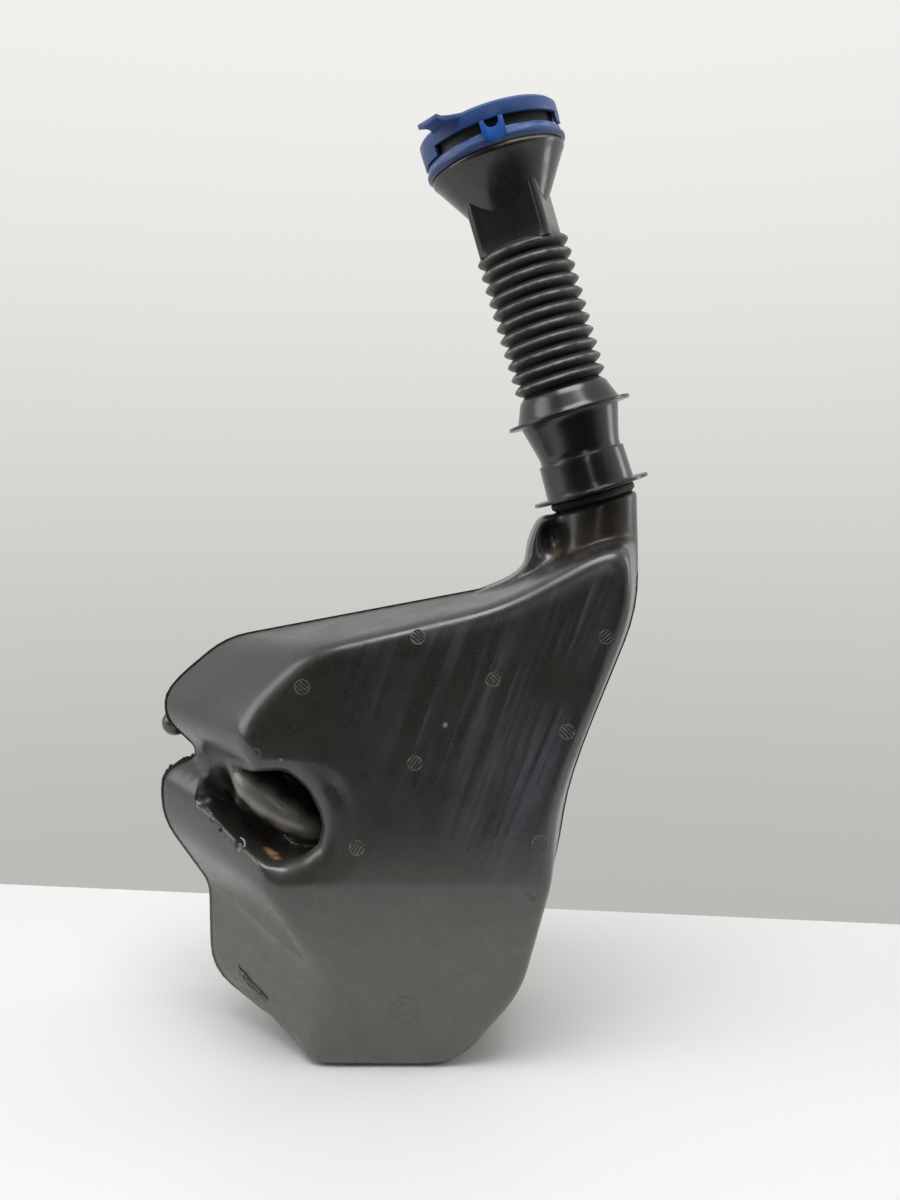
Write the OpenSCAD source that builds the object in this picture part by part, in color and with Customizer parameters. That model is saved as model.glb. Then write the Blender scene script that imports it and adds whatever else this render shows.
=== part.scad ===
// Washer fluid reservoir: a blown tank with a bellows filler neck and a hinged snap cap.
// Millimetres. +Z is up, +X runs towards the filler neck, -Y is the broad front face.
// The origin is on the flat base, in the plane of the mould seam.

/* [Tank outline at the seam] */
// Base, from the origin to its left end
base_left = 44; // [38:1:48]
// Base, from the origin to its right end
base_right = 40; // [34:1:44]
// Lower right corner, distance from the origin
toe_right = 60; // [54:1:66]
// Lower right corner, height
toe_right_h = 24; // [18:1:30]
// Right wall at the height of the crease, distance from the origin
crease_right = 74.5; // [72:0.5:78]
// Right wall at its waist, distance from the origin
waist_right = 79.5; // [77:0.5:82]
// Waist of the right wall, height
waist_h = 115; // [108:1:120]
// Right wall at the shoulder, distance from the origin
shoulder_right = 108; // [102:1:114]
// Shoulder of the right wall, height
shoulder_h = 188; // [182:1:194]
// Top of the shoulder under the filler tower, height
shoulder_top_h = 221; // [214:1:226]
// Bend of the sloping top, distance from the origin
top_bend = 51; // [46:1:56]
// Bend of the sloping top, height
top_bend_h = 197.5; // [193:0.5:201]
// Upper left corner, distance from the origin
top_left = 68; // [62:1:72]
// Upper left corner, height
top_left_h = 175; // [171:0.5:180]
// Upper lobe, distance of its left edge from the origin
head_left = 94.5; // [91:0.5:99]
// Upper lobe, height of its left edge at the top
head_top_h = 153; // [148:1:158]
// Upper lobe, height of its left edge at the bottom
head_low_h = 140; // [137:1:143]
// Notch between the lobes, distance of its root from the origin
notch_left = 82; // [79:1:85]
// Notch between the lobes, height of its root
notch_h = 125.5; // [122:0.5:128]
// Notch between the lobes, width of its root
notch_gap = 5; // [4:0.5:6]
// Lower lobe, distance of its left edge from the origin
lobe_left = 97; // [93:1:102]
// Lower lobe, height of its left edge at the top
lobe_top_h = 116.5; // [112:0.5:119]
// Lower lobe, height of its left edge at the bottom
lobe_low_h = 96; // [92:1:102]
// Left wall below the lobes, distance from the origin
side_left = 77; // [73:1:81]
// Left wall, height of its upper end
side_top_h = 67; // [62:1:72]
// Left wall, height of its lower end
side_low_h = 28; // [22:1:34]

/* [Tank front and rear] */
// Front face, distance from the seam
front_d = 50; // [44:1:56]
// Rear face, distance from the seam
rear_d = 46; // [42:1:52]
// Set-in of the rear face all round
rear_set = 8; // [5:0.5:10]
// Set-in of the front face along the right wall
face_set = 10; // [6:0.5:12]
// Front face, distance from its left end to the origin at the top
face_top_left = 24; // [20:1:30]
// Front face, distance from its left edge to the origin beside the upper lobe
face_head_left = 53; // [48:1:56]
// Front face, distance from its left edge to the origin beside the lower lobe
face_lobe_left = 45; // [41:1:49]
// Front face, distance from its lower left edge to the origin
face_low_left = 22; // [18:1:28]
// Front face, distance from its left end to the origin at the base
face_base_left = 33; // [28:1:38]
// Front face, distance from its lower right end to the origin
face_low_right = 30; // [26:1:34]
// Lower right corner of the front face, height
face_toe_h = 35; // [30:1:44]
// Ridge across the lower left chamfer, height where it meets the front face
ridge_h = 40; // [34:1:48]
// Crease across the front face, height
crease_h = 82; // [76:1:88]
// Lean of the front face below the crease
lower_lean = 11; // [7:1:16]
// Rounding of the face edges
edge = 5; // [3:0.5:7]
// Lower left edge of the front face, times the rounding of the others
soft_edge = 2.2; // [1:0.1:2.6]
// Wall of the tank
wall = 2.6; // [2:0.1:3.2]
// Mould seam, height of its flash
seam_h = 0.7; // [0.4:0.1:1]
// Mould seam, width of its flash
seam_w = 1.2; // [0.8:0.1:1.6]

/* [Side pocket] */
// Pocket, length to the right of the notch
pocket_l = 67; // [62:1:70]
// Pocket, rise of its top above the notch
pocket_rise = 3.5; // [2:0.5:5]
// Pocket, drop of its bottom below the notch
pocket_drop = 35.5; // [32:0.5:37]
// Throat of the pocket, drop of its lower edge below the notch
throat_drop = 16.5; // [14:0.5:18]
// Floor of the pocket, distance in front of the seam
pocket_floor = 12; // [9:0.5:16]
// Rolled lip of the pocket, radius
lip = 6; // [4:0.5:7]
// Flat of the pocket's bottom and top, length from its right end
pocket_flat = 29; // [26:1:32]
// Broad ridge across the pocket floor, radius
pocket_ridge_r = 7.5; // [5:0.5:8]
// Broad ridge across the pocket floor, rise of its upper end
pocket_ridge_h = 12; // [8:0.5:14]
// Dents in the outer edge of the pocket, radius
dent_r = 2.8; // [2:0.2:3]

/* [Filler tower] */
// Tilt of the filler neck towards the left
neck_tilt = 16.7; // [13:0.1:19]
// Neck axis at the rim, distance in from the right wall
neck_inset = 19; // [18:0.5:20]
// Neck rim, rise above the shoulder
neck_rise = 12.5; // [11:0.5:15]
// Neck rim, outer radius
neck_r = 18; // [17:0.25:18.5]
// Neck bore, radius
neck_bore_r = 14; // [13:0.25:14.5]
// Neck bore, depth
neck_bore_d = 8; // [7:0.5:9]
// Foot of the tower, radius
tower_r = 20; // [19:0.5:21]
// Foot of the tower, drop below the rim
tower_drop = 30; // [26:1:34]
// Fin beside the tower, thickness
fin_t = 18; // [14:1:22]
// Fin beside the tower, distance of its edge to the left of the neck axis
fin_out = 28; // [26:0.5:30]
// Fin beside the tower, drop of its top below the rim
fin_drop = 4.5; // [4:0.5:6]
// Fin beside the tower, height of its rounded corner
fin_round = 12; // [9:0.5:14]
// Scoop between the fin and the tower, half its width
scoop_r = 6; // [5:0.25:7]

/* [Pump port] */
// Pump recess in the rear, width
recess_w = 34; // [30:1:38]
// Pump recess in the rear, height between the centres of its round ends
recess_h = 40; // [34:1:46]
// Pump recess in the rear, depth
recess_d = 11; // [8:0.5:14]
// Pump recess, distance of its axis to the right of the origin
recess_x = 4; // [0:1:8]
// Pump port, height
port_h = 38; // [34:1:42]
// Pump port, radius of the hole in the wall
port_r = 10; // [9:0.25:11]
// Pump port, radius of the grommet's own bore
grommet_bore_r = 6.5; // [5.5:0.25:7]
// Grommet flanges, width beyond the hole
grommet_lip = 2.6; // [2:0.1:3]
// Grommet flanges, thickness
grommet_t = 2.2; // [1.6:0.1:2.8]

/* [Coupling] */
// Rubber ring under the coupling, height
seal_h = 4; // [3:0.5:5]
// Spigot in the tank neck, length
spigot_l = 7; // [6:0.5:7]
// Spigot wall
spigot_wall = 1.8; // [1.4:0.1:2.2]
// Lower disc, radius
disc_r = 24.6; // [23.5:0.1:27]
// Lower disc and flange, thickness
disc_t = 1.5; // [1.2:0.1:2]
// Sleeve above the disc, radius at its foot
sleeve_r = 18.7; // [18.4:0.1:19.5]
// Sleeve above the disc, height
sleeve_h = 14.4; // [12:0.2:16]
// Step at the top of the sleeve
sleeve_step = 0.5; // [0.3:0.1:0.7]
// Waist above the sleeve, height
waist_l = 17.6; // [15:0.2:20]
// Waist, radius under the flange
waist_top_r = 21; // [20:0.25:22]
// Upper flange, radius
flange_r = 26; // [25:0.25:28]
// Collar above the flange, radius at its foot
collar_r = 22; // [21:0.25:23]
// Collar, height of its cone
collar_h = 8.3; // [7:0.1:9.5]
// Collar, lean of its cone
collar_lean = 22; // [18:1:24]
// Collar, height of its shoulder
collar_top_h = 2.2; // [1.8:0.1:2.6]
// Socket for the filler neck, depth
socket_d = 17; // [14:0.5:20]

/* [Bellows and funnel] */
// Radius of the tube that the coupling holds
tail_r = 15.6; // [15:0.1:15.8]
// Wall of the filler neck
neck_wall = 1.5; // [1.2:0.1:1.7]
// Number of bellows folds
folds = 11; // [8:1:14]
// Pitch of the folds
fold_pitch = 5.46; // [5:0.02:6]
// Bellows, radius at the tips
fold_tip_r = 19.4; // [18.6:0.1:20.4]
// Bellows, radius at the roots
fold_root_r = 16; // [15.9:0.1:16.6]
// Square tube above the bellows, half its width
tube_half = 15.3; // [15.2:0.1:16]
// Square tube above the bellows, softness of its corners
tube_corner = 6; // [5:0.5:8]
// Square tube above the bellows, turn about the neck axis
tube_turn = -9; // [-20:1:20]
// Square tube above the bellows, length of its flats
tube_l = 13.2; // [11:0.2:16]
// Funnel, height above the flats
funnel_h = 19; // [17:0.5:21]
// Funnel, outer radius at the top
funnel_r = 27.4; // [27:0.1:28]
// Bead round the top of the funnel, height
bead_h = 2.2; // [1.8:0.1:2.8]
// Bead round the top of the funnel, projection
bead_out = 0.6; // [0.4:0.1:0.8]
// Mouth above the bead, outer radius
mouth_r = 26.3; // [26:0.1:26.6]
// Mouth above the bead, height
mouth_h = 13.3; // [12.5:0.1:15]

/* [Cap] */
// Cap ring, outer radius
ring_r = 29.2; // [28.6:0.1:30]
// Cap ring, height
ring_h = 5.4; // [4.8:0.1:5.8]
// Cap ring, height of its wider lower tier
ring_tier_h = 2.9; // [2.4:0.1:3.4]
// Cap ring, set-in of its upper tier
ring_tier_set = 1; // [0.6:0.1:1.2]
// Lid, outer radius
lid_r = 29; // [28.7:0.1:29.4]
// Lid skirt, thickness
skirt_t = 1.6; // [1.3:0.1:1.8]
// Lid skirt, height of the full band
band_h = 6.1; // [5.2:0.1:6.4]
// Lid top, thickness
lid_t = 2; // [1.6:0.1:2.4]
// Inner plug of the lid, depth
plug_d = 6; // [4:0.5:6]
// Inner plug of the lid, wall
plug_t = 1.4; // [1.2:0.1:1.8]
// Inner plug of the lid, taper on the radius
plug_taper = 0.6; // [0.6:0.1:1.2]
// Lifting tab, bearing
tab_turn = 230; // [220:1:236]
// Lifting tab, reach beyond the lid
tab_l = 10; // [8:0.5:12]
// Lifting tab, width at its end
tab_w = 10; // [8:0.5:12]
// Forked lug on the ring, bearing
lug_turn = 267; // [262:1:272]
// Forked lug on the ring, width
lug_w = 9.4; // [8:0.2:11]
// Forked lug on the ring, radius of the notch between its prongs
lug_notch_r = 2.8; // [2:0.1:3.2]
// Forked lug on the ring, depth of the notch
lug_notch_d = 3.6; // [3.2:0.1:4.2]
// Hinge post, width
hinge_w = 14; // [10:0.5:16]
// Hinge post, thickness
hinge_t = 1.8; // [1.5:0.1:2.2]

/* [Clearances] */
// Play of a push fit, on the radius
push_play = 0.1; // [0.05:0.01:0.2]
// Gap between the lid and what it closes
lid_gap = 0.3; // [0.2:0.05:0.4]

/* [Hidden] */
$fn = 64;
past = 1;
corner_steps = 4;
edge_steps = 4;
cavity_corner_steps = 3;
cavity_edge_steps = 2;

// Places in the tank
neck_x = shoulder_right - neck_inset;
neck_z = shoulder_top_h + neck_rise;
tower_x = shoulder_right - tower_r;
tower_z = neck_z - tower_drop;
notch = [-notch_left, notch_h];
pocket_centre = notch + [pocket_l - 20, -pocket_drop / 2];
recess_y = rear_d - recess_d;

// Heights along the neck axis, from the tank's rim
seat_s = seal_h;
sleeve_s = seat_s + disc_t;
waist_s = sleeve_s + sleeve_h;
flange_s = waist_s + waist_l;
collar_s = flange_s + disc_t;
collar_end_s = collar_s + collar_h;
collar_top_s = collar_end_s + collar_top_h;
collar_end_r = collar_r - collar_h * tan(collar_lean);
bellows_s = collar_top_s + lid_gap;
bellows_end_s = bellows_s + folds * fold_pitch;
tube_end_s = bellows_end_s + tube_l;
funnel_end_s = tube_end_s + funnel_h;
bead_end_s = funnel_end_s + bead_h;
mouth_end_s = bead_end_s + mouth_h;
ring_end_s = bead_end_s + ring_h;
lid_under_s = mouth_end_s + lid_gap;
lid_end_s = lid_under_s + lid_t;
band_s = lid_end_s - band_h;
foot_s = ring_end_s + lid_gap;

// Radii along the neck axis
tail_bore_r = tail_r - neck_wall;
spigot_r = neck_bore_r - push_play;
spigot_bore_r = spigot_r - spigot_wall;
socket_r = tail_r + push_play;
mouth_bore_r = mouth_r - neck_wall;
plug_r = mouth_bore_r - lid_gap;
skirt_bore_r = lid_r - skirt_t;
hinge_turn = tab_turn - 180;
hinge_bore_r = lid_r + lid_gap;
hinge_r = hinge_bore_r + hinge_t / 2;
hinge_s = lid_end_s - lid_t / 2;

// Seam outline, anticlockwise from the right end of the base: across, up, softness of the corner
seam_outline = [
    [base_right, 0, 14],
    [toe_right, toe_right_h, 14],
    [crease_right, crease_h, 10],
    [waist_right, waist_h, 26],
    [shoulder_right, shoulder_h, 16],
    [shoulder_right - 1, shoulder_top_h, 7],
    [neck_x - 3, shoulder_top_h - 5, 6],
    [top_bend, top_bend_h, 12],
    [-top_left, top_left_h, 10],
    [-head_left, head_top_h, 15],
    [-head_left, head_low_h, 5],
    [notch.x, notch.y + notch_gap / 2, 2],
    [notch.x, notch.y - notch_gap / 2, 2],
    [-lobe_left, lobe_top_h, 8],
    [-lobe_left, lobe_low_h, 10],
    [-side_left, side_top_h, 5],
    [-side_left, side_low_h, 12],
    [-base_left, 0, 14]
];

// Front face outline, corner for corner with the seam outline
// A fourth value widens the rounded edge there
face_outline = [
    [face_low_right, 0, 12],
    [toe_right - face_set / 3, face_toe_h, 10],
    [crease_right - face_set * 0.7, crease_h, 4],
    [waist_right - face_set, waist_h, 24],
    [shoulder_right - face_set, shoulder_h + 4, 14],
    [shoulder_right - face_set - 2, shoulder_top_h - 4, 7],
    [neck_x - 5, shoulder_top_h - 6.5, 8],
    [top_bend - 4, top_bend_h - 3, 14],
    [-face_top_left, top_left_h + 2, 9],
    [-face_head_left + 6, head_top_h + 2, 12],
    [-face_head_left, head_low_h + 1, 6],
    [-face_lobe_left - 1, notch_h + 2.5, 5],
    [-face_lobe_left + 1, notch_h - 12, 5],
    [-face_lobe_left + 1, crease_h + 18, 5],
    [-face_lobe_left, crease_h, 4],
    [-face_low_left, ridge_h, 5, (1 + soft_edge) / 2],
    [-face_low_left, ridge_h * 0.7, 4, soft_edge],
    [-face_base_left, 0, 10, (1 + soft_edge) / 3]
];
crease_corners = [for (i = [0:len(face_outline) - 1]) if (face_outline[i].y == crease_h) i];
face_centre = [(waist_right - face_lobe_left) / 2, (crease_h + top_bend_h) / 2];
lower_centre = [face_centre.x, crease_h * 0.44];
rear_centre = [face_centre.x, waist_h];

// Pocket outline on the front, anticlockwise from its lower left
pocket_outline = [
    [notch.x + pocket_l - pocket_flat, notch.y - pocket_drop, 13],
    [notch.x + pocket_l, notch.y - pocket_drop, 14],
    [notch.x + pocket_l - 1, notch.y, 15],
    [notch.x + pocket_l - pocket_flat, notch.y + pocket_rise, 11],
    [notch.x + 13, notch.y - 2, 8],
    [notch.x - 5, notch.y + notch_gap / 2, 2],
    [notch.x - 5, notch.y - notch_gap / 2, 2],
    [notch.x + 4, notch.y - throat_drop, 6]
];

// Fin outline beside the tower
fin_outline = [
    [top_bend - 16, top_bend_h - 4, 1],
    [neck_x - fin_out - 1, top_bend_h + 6, 12],
    [neck_x - fin_out, neck_z - fin_drop - fin_round, 7],
    [neck_x - fin_out + fin_round / 2, neck_z - fin_drop, 6],
    [neck_x - fin_out / 8, neck_z - 2 * fin_drop, 2],
    [neck_x, neck_z - tower_drop / 2, 2],
    [top_bend + 8, top_bend_h - 12, 1]
];

function way(v) = v / norm(v);
function bend(a, b, c, t) = (1 - t) * (1 - t) * a + 2 * t * (1 - t) * b + t * t * c;
function flat(corner) = [corner.x, corner.y];
function ease(corner) = len(corner) > 3 ? corner[3] : 1;
function inward(a, b) = let (d = way(b - a)) [-d.y, d.x];

// Corners eased into curves, each of the same number of points
function soften(corners, steps) = [
    for (i = [0:len(corners) - 1])
        let (
            here = flat(corners[i]),
            back = flat(corners[(i + len(corners) - 1) % len(corners)]),
            next = flat(corners[(i + 1) % len(corners)]),
            from = here + way(back - here) * min(corners[i].z, 0.45 * norm(back - here)),
            to = here + way(next - here) * min(corners[i].z, 0.45 * norm(next - here))
        )
            for (k = [0:steps]) bend(from, here, to, k / steps)
];

// Every side of an outline moved in by the same distance
function inset(corners, by) = [
    for (i = [0:len(corners) - 1])
        let (
            here = flat(corners[i]),
            m = inward(flat(corners[(i + len(corners) - 1) % len(corners)]), here),
            n = inward(here, flat(corners[(i + 1) % len(corners)])),
            moved = here + by * (m + n) / (1 + m * n)
        )
            [moved.x, moved.y, corners[i].z, ease(corners[i])]
];

// The same, each corner by its own share of the distance
function inset_eased(corners, by) = [
    for (i = [0:len(corners) - 1]) inset(corners, by * ease(corners[i]))[i]
];

// The same, with the base left where it is
function inset_above_base(corners, by) =
    let (moved = inset(corners, by))
        [for (i = [0:len(corners) - 1]) [moved[i].x, corners[i].y == 0 ? 0 : moved[i].y, corners[i].z]];

function stood(points, depth) = [for (p = points) [p.x, depth(p.y), p.y]];
function front_at(out) = function (h) -(out - max(0, crease_h - h) * tan(lower_lean));
function level(y) = function (h) y;

// Rings of one half, from the foot of the rounded face edge to the face itself
function half_rings(seam, face, depth, round, corner_n, edge_n) =
    let (
        root = stood(soften(seam, corner_n), level(0)),
        sharp = stood(soften(face, corner_n), depth),
        end = stood(soften(inset_eased(face, round), corner_n), depth)
    )
        [
            for (k = [0:edge_n])
                [
                    for (i = [0:len(sharp) - 1])
                        let (
                            reach = round * ease(face[floor(i / (corner_n + 1))]),
                            foot = sharp[i] + way(root[i] - sharp[i]) * reach
                        )
                            bend(foot, sharp[i], end[i], k / edge_n)
                ]
        ];

function reversed(list) = [for (i = [len(list) - 1:-1:0]) list[i]];
function joined(rings) = [for (r = rings) for (p = r) p];

// Faces between neighbouring rings, and a fan over a run of a ring's points
function side_faces(count, n) = [
    for (j = [0:count - 2])
        for (i = [0:n - 1])
            let (a = j * n + i, b = j * n + (i + 1) % n)
                for (f = [[a, a + n, b + n], [a, b + n, b]]) f
];
function rear_fan(centre, n) = [for (i = [0:n - 1]) [centre, i, (i + 1) % n]];
function front_fan(centre, start, n, from, to) = concat(
    [for (i = [from:to - 1]) [centre, start + (i + 1) % n, start + i % n]],
    to - from < n ? [[centre, start + from % n, start + to % n]] : []
);

// Skin through the tank's rings, rear to front, its front closed above and below the crease
module tank_loft(rings, corner_n, front_depth) {
    n = len(rings[0]);
    last = (len(rings) - 1) * n;
    total = len(rings) * n;
    right = crease_corners[0] * (corner_n + 1) + floor(corner_n / 2);
    left = crease_corners[1] * (corner_n + 1) + floor(corner_n / 2);
    centres = [
        [rear_centre.x, rings[0][0].y, rear_centre.y],
        [face_centre.x, front_depth(face_centre.y), face_centre.y],
        [lower_centre.x, front_depth(lower_centre.y), lower_centre.y]
    ];
    polyhedron(
        concat(joined(rings), centres),
        concat(
            side_faces(len(rings), n),
            rear_fan(total, n),
            front_fan(total + 1, last, n, right, left),
            front_fan(total + 2, last, n, left, right + n)
        )
    );
}

// Skin through rings that keep round one centre
module round_loft(rings, centre) {
    n = len(rings[0]);
    last = (len(rings) - 1) * n;
    total = len(rings) * n;
    ends = [[centre.x, rings[0][0].y, centre.y], [centre.x, rings[len(rings) - 1][0].y, centre.y]];
    polyhedron(
        concat(joined(rings), ends),
        concat(side_faces(len(rings), n), rear_fan(total, n), front_fan(total + 1, last, n, 0, n))
    );
}

function on_or_above_base(points) = [for (p = points) [p.x, p.y, max(p.z, 0)]];

// Outer skin, with the flash of the mould seam
module tank_outside() {
    front = front_at(front_d);
    rear_outline = inset_above_base(seam_outline, rear_set);
    flush = soften(seam_outline, corner_steps);
    proud = soften(inset(seam_outline, -seam_h), corner_steps);
    seam = [
        stood(flush, level(seam_w / 2)),
        on_or_above_base(stood(proud, level(seam_w / 4))),
        on_or_above_base(stood(proud, level(-seam_w / 4))),
        stood(flush, level(-seam_w / 2))
    ];
    rear_half = half_rings(seam_outline, rear_outline, level(rear_d), edge, corner_steps, edge_steps);
    front_half = half_rings(seam_outline, face_outline, front, edge, corner_steps, edge_steps);
    tank_loft(concat(reversed(rear_half), seam, front_half), corner_steps, front);
}

// Space inside the skin
module tank_inside() {
    front = front_at(front_d - wall);
    seam_in = inset(seam_outline, wall);
    rear_in = inset(inset_above_base(seam_outline, rear_set), wall);
    face_in = inset(face_outline, wall);
    rear = level(rear_d - wall);
    corner_n = cavity_corner_steps;
    middle = stood(soften(seam_in, corner_n), level(0));
    rear_half = half_rings(seam_in, rear_in, rear, edge, corner_n, cavity_edge_steps);
    front_half = half_rings(seam_in, face_in, front, edge, corner_n, cavity_edge_steps);
    tank_loft(concat(reversed(rear_half), [middle], front_half), corner_n, front);
}

// The neck's own frame: along its axis from the rim of the tank
module on_neck(s = 0) {
    translate([neck_x, 0, neck_z]) rotate([0, -neck_tilt, 0]) translate([0, 0, s]) children();
}

// Tower that carries the neck rim
module tower() {
    rim_ease = 1.2;
    hull() {
        on_neck(-2 * rim_ease) cylinder(h = rim_ease, r = neck_r, $fn = 40);
        on_neck(-rim_ease) cylinder(h = rim_ease, r1 = neck_r, r2 = neck_r - rim_ease, $fn = 40);
        translate([tower_x, 0, tower_z]) cylinder(h = 6, r = tower_r, $fn = 40);
    }
}

// Passage from the rim down to the space inside, a little narrower than the neck bore
module tower_inside() {
    passage_r = neck_bore_r - 0.5;
    passage_s = -neck_bore_d - past;
    on_neck(passage_s) cylinder(h = past - passage_s, r = passage_r, $fn = 32);
    hull() {
        on_neck(passage_s) cylinder(h = past / 2, r = passage_r, $fn = 32);
        translate([shoulder_right - wall - passage_r - 1, 0, tower_z - 10])
            cylinder(h = 10, r = passage_r, $fn = 32);
    }
}

// Fin in the seam plane, left of the tower
module fin() {
    rotate([90, 0, 0]) linear_extrude(height = fin_t, center = true)
        polygon(soften(fin_outline, corner_steps));
}

// Scooped hollow between the fin and the tower
module scoop() {
    translate([neck_x - neck_r, -fin_t / 2 - scoop_r * 2 / 3, neck_z - tower_drop / 2])
        scale([1, 1.8, 1.4]) sphere(r = scoop_r, $fn = 24);
}

// Pocket in the left side, from its rounded floor to its rolled lip; grow gives the wall behind it
module pocket(grow = 0) {
    shrink = [[0.66, 0], [0.84, 1.2], [0.95, 5], [1, 12]];
    outline = inset(pocket_outline, -grow);
    floor_rings = [
        for (f = shrink)
            stood(
                [for (p = soften(outline, corner_steps)) pocket_centre + f[0] * (p - pocket_centre)],
                level(grow - pocket_floor - f[1])
            )
    ];
    lip_rings = [
        for (a = [90:-30:0])
            stood(
                soften(inset(outline, -lip * (1 - sin(a))), corner_steps),
                level(-front_d + lip * (1 - cos(a)))
            )
    ];
    front_ring = stood(soften(inset(outline, -lip), corner_steps), level(-front_d - past));
    round_loft(concat(floor_rings, lip_rings, [front_ring]), pocket_centre);
}

// Broad ridge left standing across the pocket floor, highest at its upper left end
module pocket_ridge() {
    ends = [
        [notch.x + pocket_l / 4, notch.y - notch_gap],
        [notch.x + pocket_l * 0.9, notch.y - pocket_drop]
    ];
    tops = [pocket_ridge_h, pocket_ridge_h / 3];
    hull() for (i = [0, 1]) for (rise = [0, tops[i]])
        translate([ends[i].x, -pocket_floor - rise, ends[i].y]) sphere(r = pocket_ridge_r, $fn = 28);
}

// Dents in the outer edge of the pocket: right of the notch, in front of the seam, below the notch
dent_places = [[5.5, 18, 16.5], [25, 39, 29]];
module dents() {
    for (at = dent_places)
        translate([notch.x + at.x, -at.y, notch.y - at.z]) sphere(r = dent_r, $fn = 16);
}

// Small locating nub on the rear half
module rear_nub() {
    translate([-head_left + 1, 10, head_low_h - 4]) sphere(r = 6, $fn = 20);
}

// Pump recess in the rear; grow gives the wall behind it
module pump_recess(grow = 0) {
    r = recess_w / 2 + grow;
    deep = rear_d + past - recess_y + grow;
    for (h = [0, recess_h])
        translate([recess_x, recess_y - grow, port_h + h]) rotate([-90, 0, 0])
            cylinder(h = deep, r = r, $fn = 32);
    translate([recess_x - r, recess_y - grow, port_h]) cube([2 * r, deep, recess_h]);
}

// The blown skin, evaluated as one closed surface
module tank_skin() {
    resize([0, 0, 0]) difference() {
        union() {
            difference() {
                tank_outside();
                difference() {
                    pocket();
                    pocket_ridge();
                }
                pump_recess();
            }
            tower();
            fin();
            rear_nub();
        }
        scoop();
        dents();
        difference() {
            union() {
                tank_inside();
                tower_inside();
            }
            pocket(wall);
            pump_recess(wall);
        }
    }
}

module tank() {
    color([0.13, 0.13, 0.12]) difference() {
        tank_skin();
        on_neck(-neck_bore_d) cylinder(h = neck_bore_d + past, r = neck_bore_r);
        translate([recess_x, recess_y - wall - past, port_h]) rotate([-90, 0, 0])
            cylinder(h = wall + 2 * past, r = port_r);
    }
}

module neck_seal() {
    color([0.05, 0.05, 0.05]) on_neck() rotate_extrude()
        polygon([
            [spigot_r + push_play, 0],
            [neck_r - 1.2, 0],
            [neck_r, 1.2],
            [neck_r, seal_h - 1],
            [neck_r - 1, seal_h],
            [spigot_r + push_play, seal_h]
        ]);
}

// Spigot, disc, sleeve, waist, flange and collar in one moulding
module neck_coupling() {
    waist_r = sleeve_r - 2 * sleeve_step;
    socket_s = collar_top_s - socket_d;
    color([0.06, 0.06, 0.06]) on_neck() rotate_extrude()
        polygon([
            [spigot_bore_r, seat_s - seal_h - spigot_l],
            [spigot_r, seat_s - seal_h - spigot_l],
            [spigot_r, seat_s],
            [disc_r, seat_s],
            [disc_r, sleeve_s],
            [sleeve_r, sleeve_s],
            [sleeve_r - sleeve_step, waist_s],
            [waist_r - sleeve_step, waist_s],
            [waist_r - sleeve_step, waist_s + 2.4],
            [waist_r + 0.4, waist_s + 6.5],
            [waist_top_r, flange_s],
            [flange_r, flange_s],
            [flange_r, collar_s],
            [collar_r, collar_s],
            [collar_end_r, collar_end_s],
            [tail_r + 1, collar_top_s],
            [socket_r, collar_top_s],
            [socket_r, socket_s],
            [spigot_bore_r, socket_s - 3]
        ]);
}

// One fold of the bellows, root to tip to root, as radius and height
function fold(s) = [
    [fold_root_r, s + 0.06 * fold_pitch],
    [fold_tip_r - 1.1, s + 0.32 * fold_pitch],
    [fold_tip_r - 0.3, s + 0.4 * fold_pitch],
    [fold_tip_r, s + 0.5 * fold_pitch],
    [fold_tip_r - 0.3, s + 0.6 * fold_pitch],
    [fold_tip_r - 1.1, s + 0.68 * fold_pitch],
    [fold_root_r, s + 0.94 * fold_pitch]
];
function fold_inside(s) = [
    [tail_bore_r, s + 0.06 * fold_pitch],
    [fold_tip_r - neck_wall - 0.5, s + 0.5 * fold_pitch],
    [tail_bore_r, s + 0.94 * fold_pitch]
];
fold_starts = [for (i = [0:folds - 1]) bellows_s + i * fold_pitch];
tail_s = collar_top_s - socket_d + 1;

// Tail, bellows, funnel and mouth, solid to the axis
module neck_outside() {
    core_r = tube_half - 0.3;
    core_s = tube_end_s - (tube_half - core_r) * funnel_h / (funnel_r - tube_half);
    rotate_extrude() polygon(concat(
        [[0, tail_s], [tail_r, tail_s], [tail_r, bellows_s]],
        [for (s = fold_starts) for (p = fold(s)) p],
        [
            [core_r, bellows_end_s],
            [core_r, core_s],
            [funnel_r, funnel_end_s],
            [funnel_r + bead_out, funnel_end_s + bead_h / 2],
            [funnel_r, bead_end_s],
            [mouth_r, bead_end_s],
            [mouth_r, mouth_end_s],
            [0, mouth_end_s]
        ]
    ));
}

// Passage through the filler neck
module neck_inside() {
    rotate_extrude() polygon(concat(
        [[0, tail_s - past], [tail_bore_r, tail_s - past]],
        [for (s = fold_starts) for (p = fold_inside(s)) p],
        [
            [tail_bore_r, tube_end_s],
            [mouth_bore_r, funnel_end_s],
            [mouth_bore_r, mouth_end_s + past],
            [0, mouth_end_s + past]
        ]
    ));
}

// Square tube with soft corners, from the top fold up into the funnel
module square_tube() {
    foot_s = bellows_end_s - fold_pitch * 0.35;
    head_s = tube_end_s + funnel_h * 0.45;
    corners = [
        for (side = [[1, -1], [1, 1], [-1, 1], [-1, -1]])
            [side.x * tube_half, side.y * tube_half, tube_corner]
    ];
    translate([0, 0, foot_s]) rotate([0, 0, tube_turn]) linear_extrude(height = head_s - foot_s)
        polygon(soften(corners, 2 * corner_steps));
}

module filler_neck() {
    color([0.09, 0.09, 0.085]) on_neck() difference() {
        union() {
            neck_outside();
            square_tube();
        }
        neck_inside();
    }
}

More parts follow.
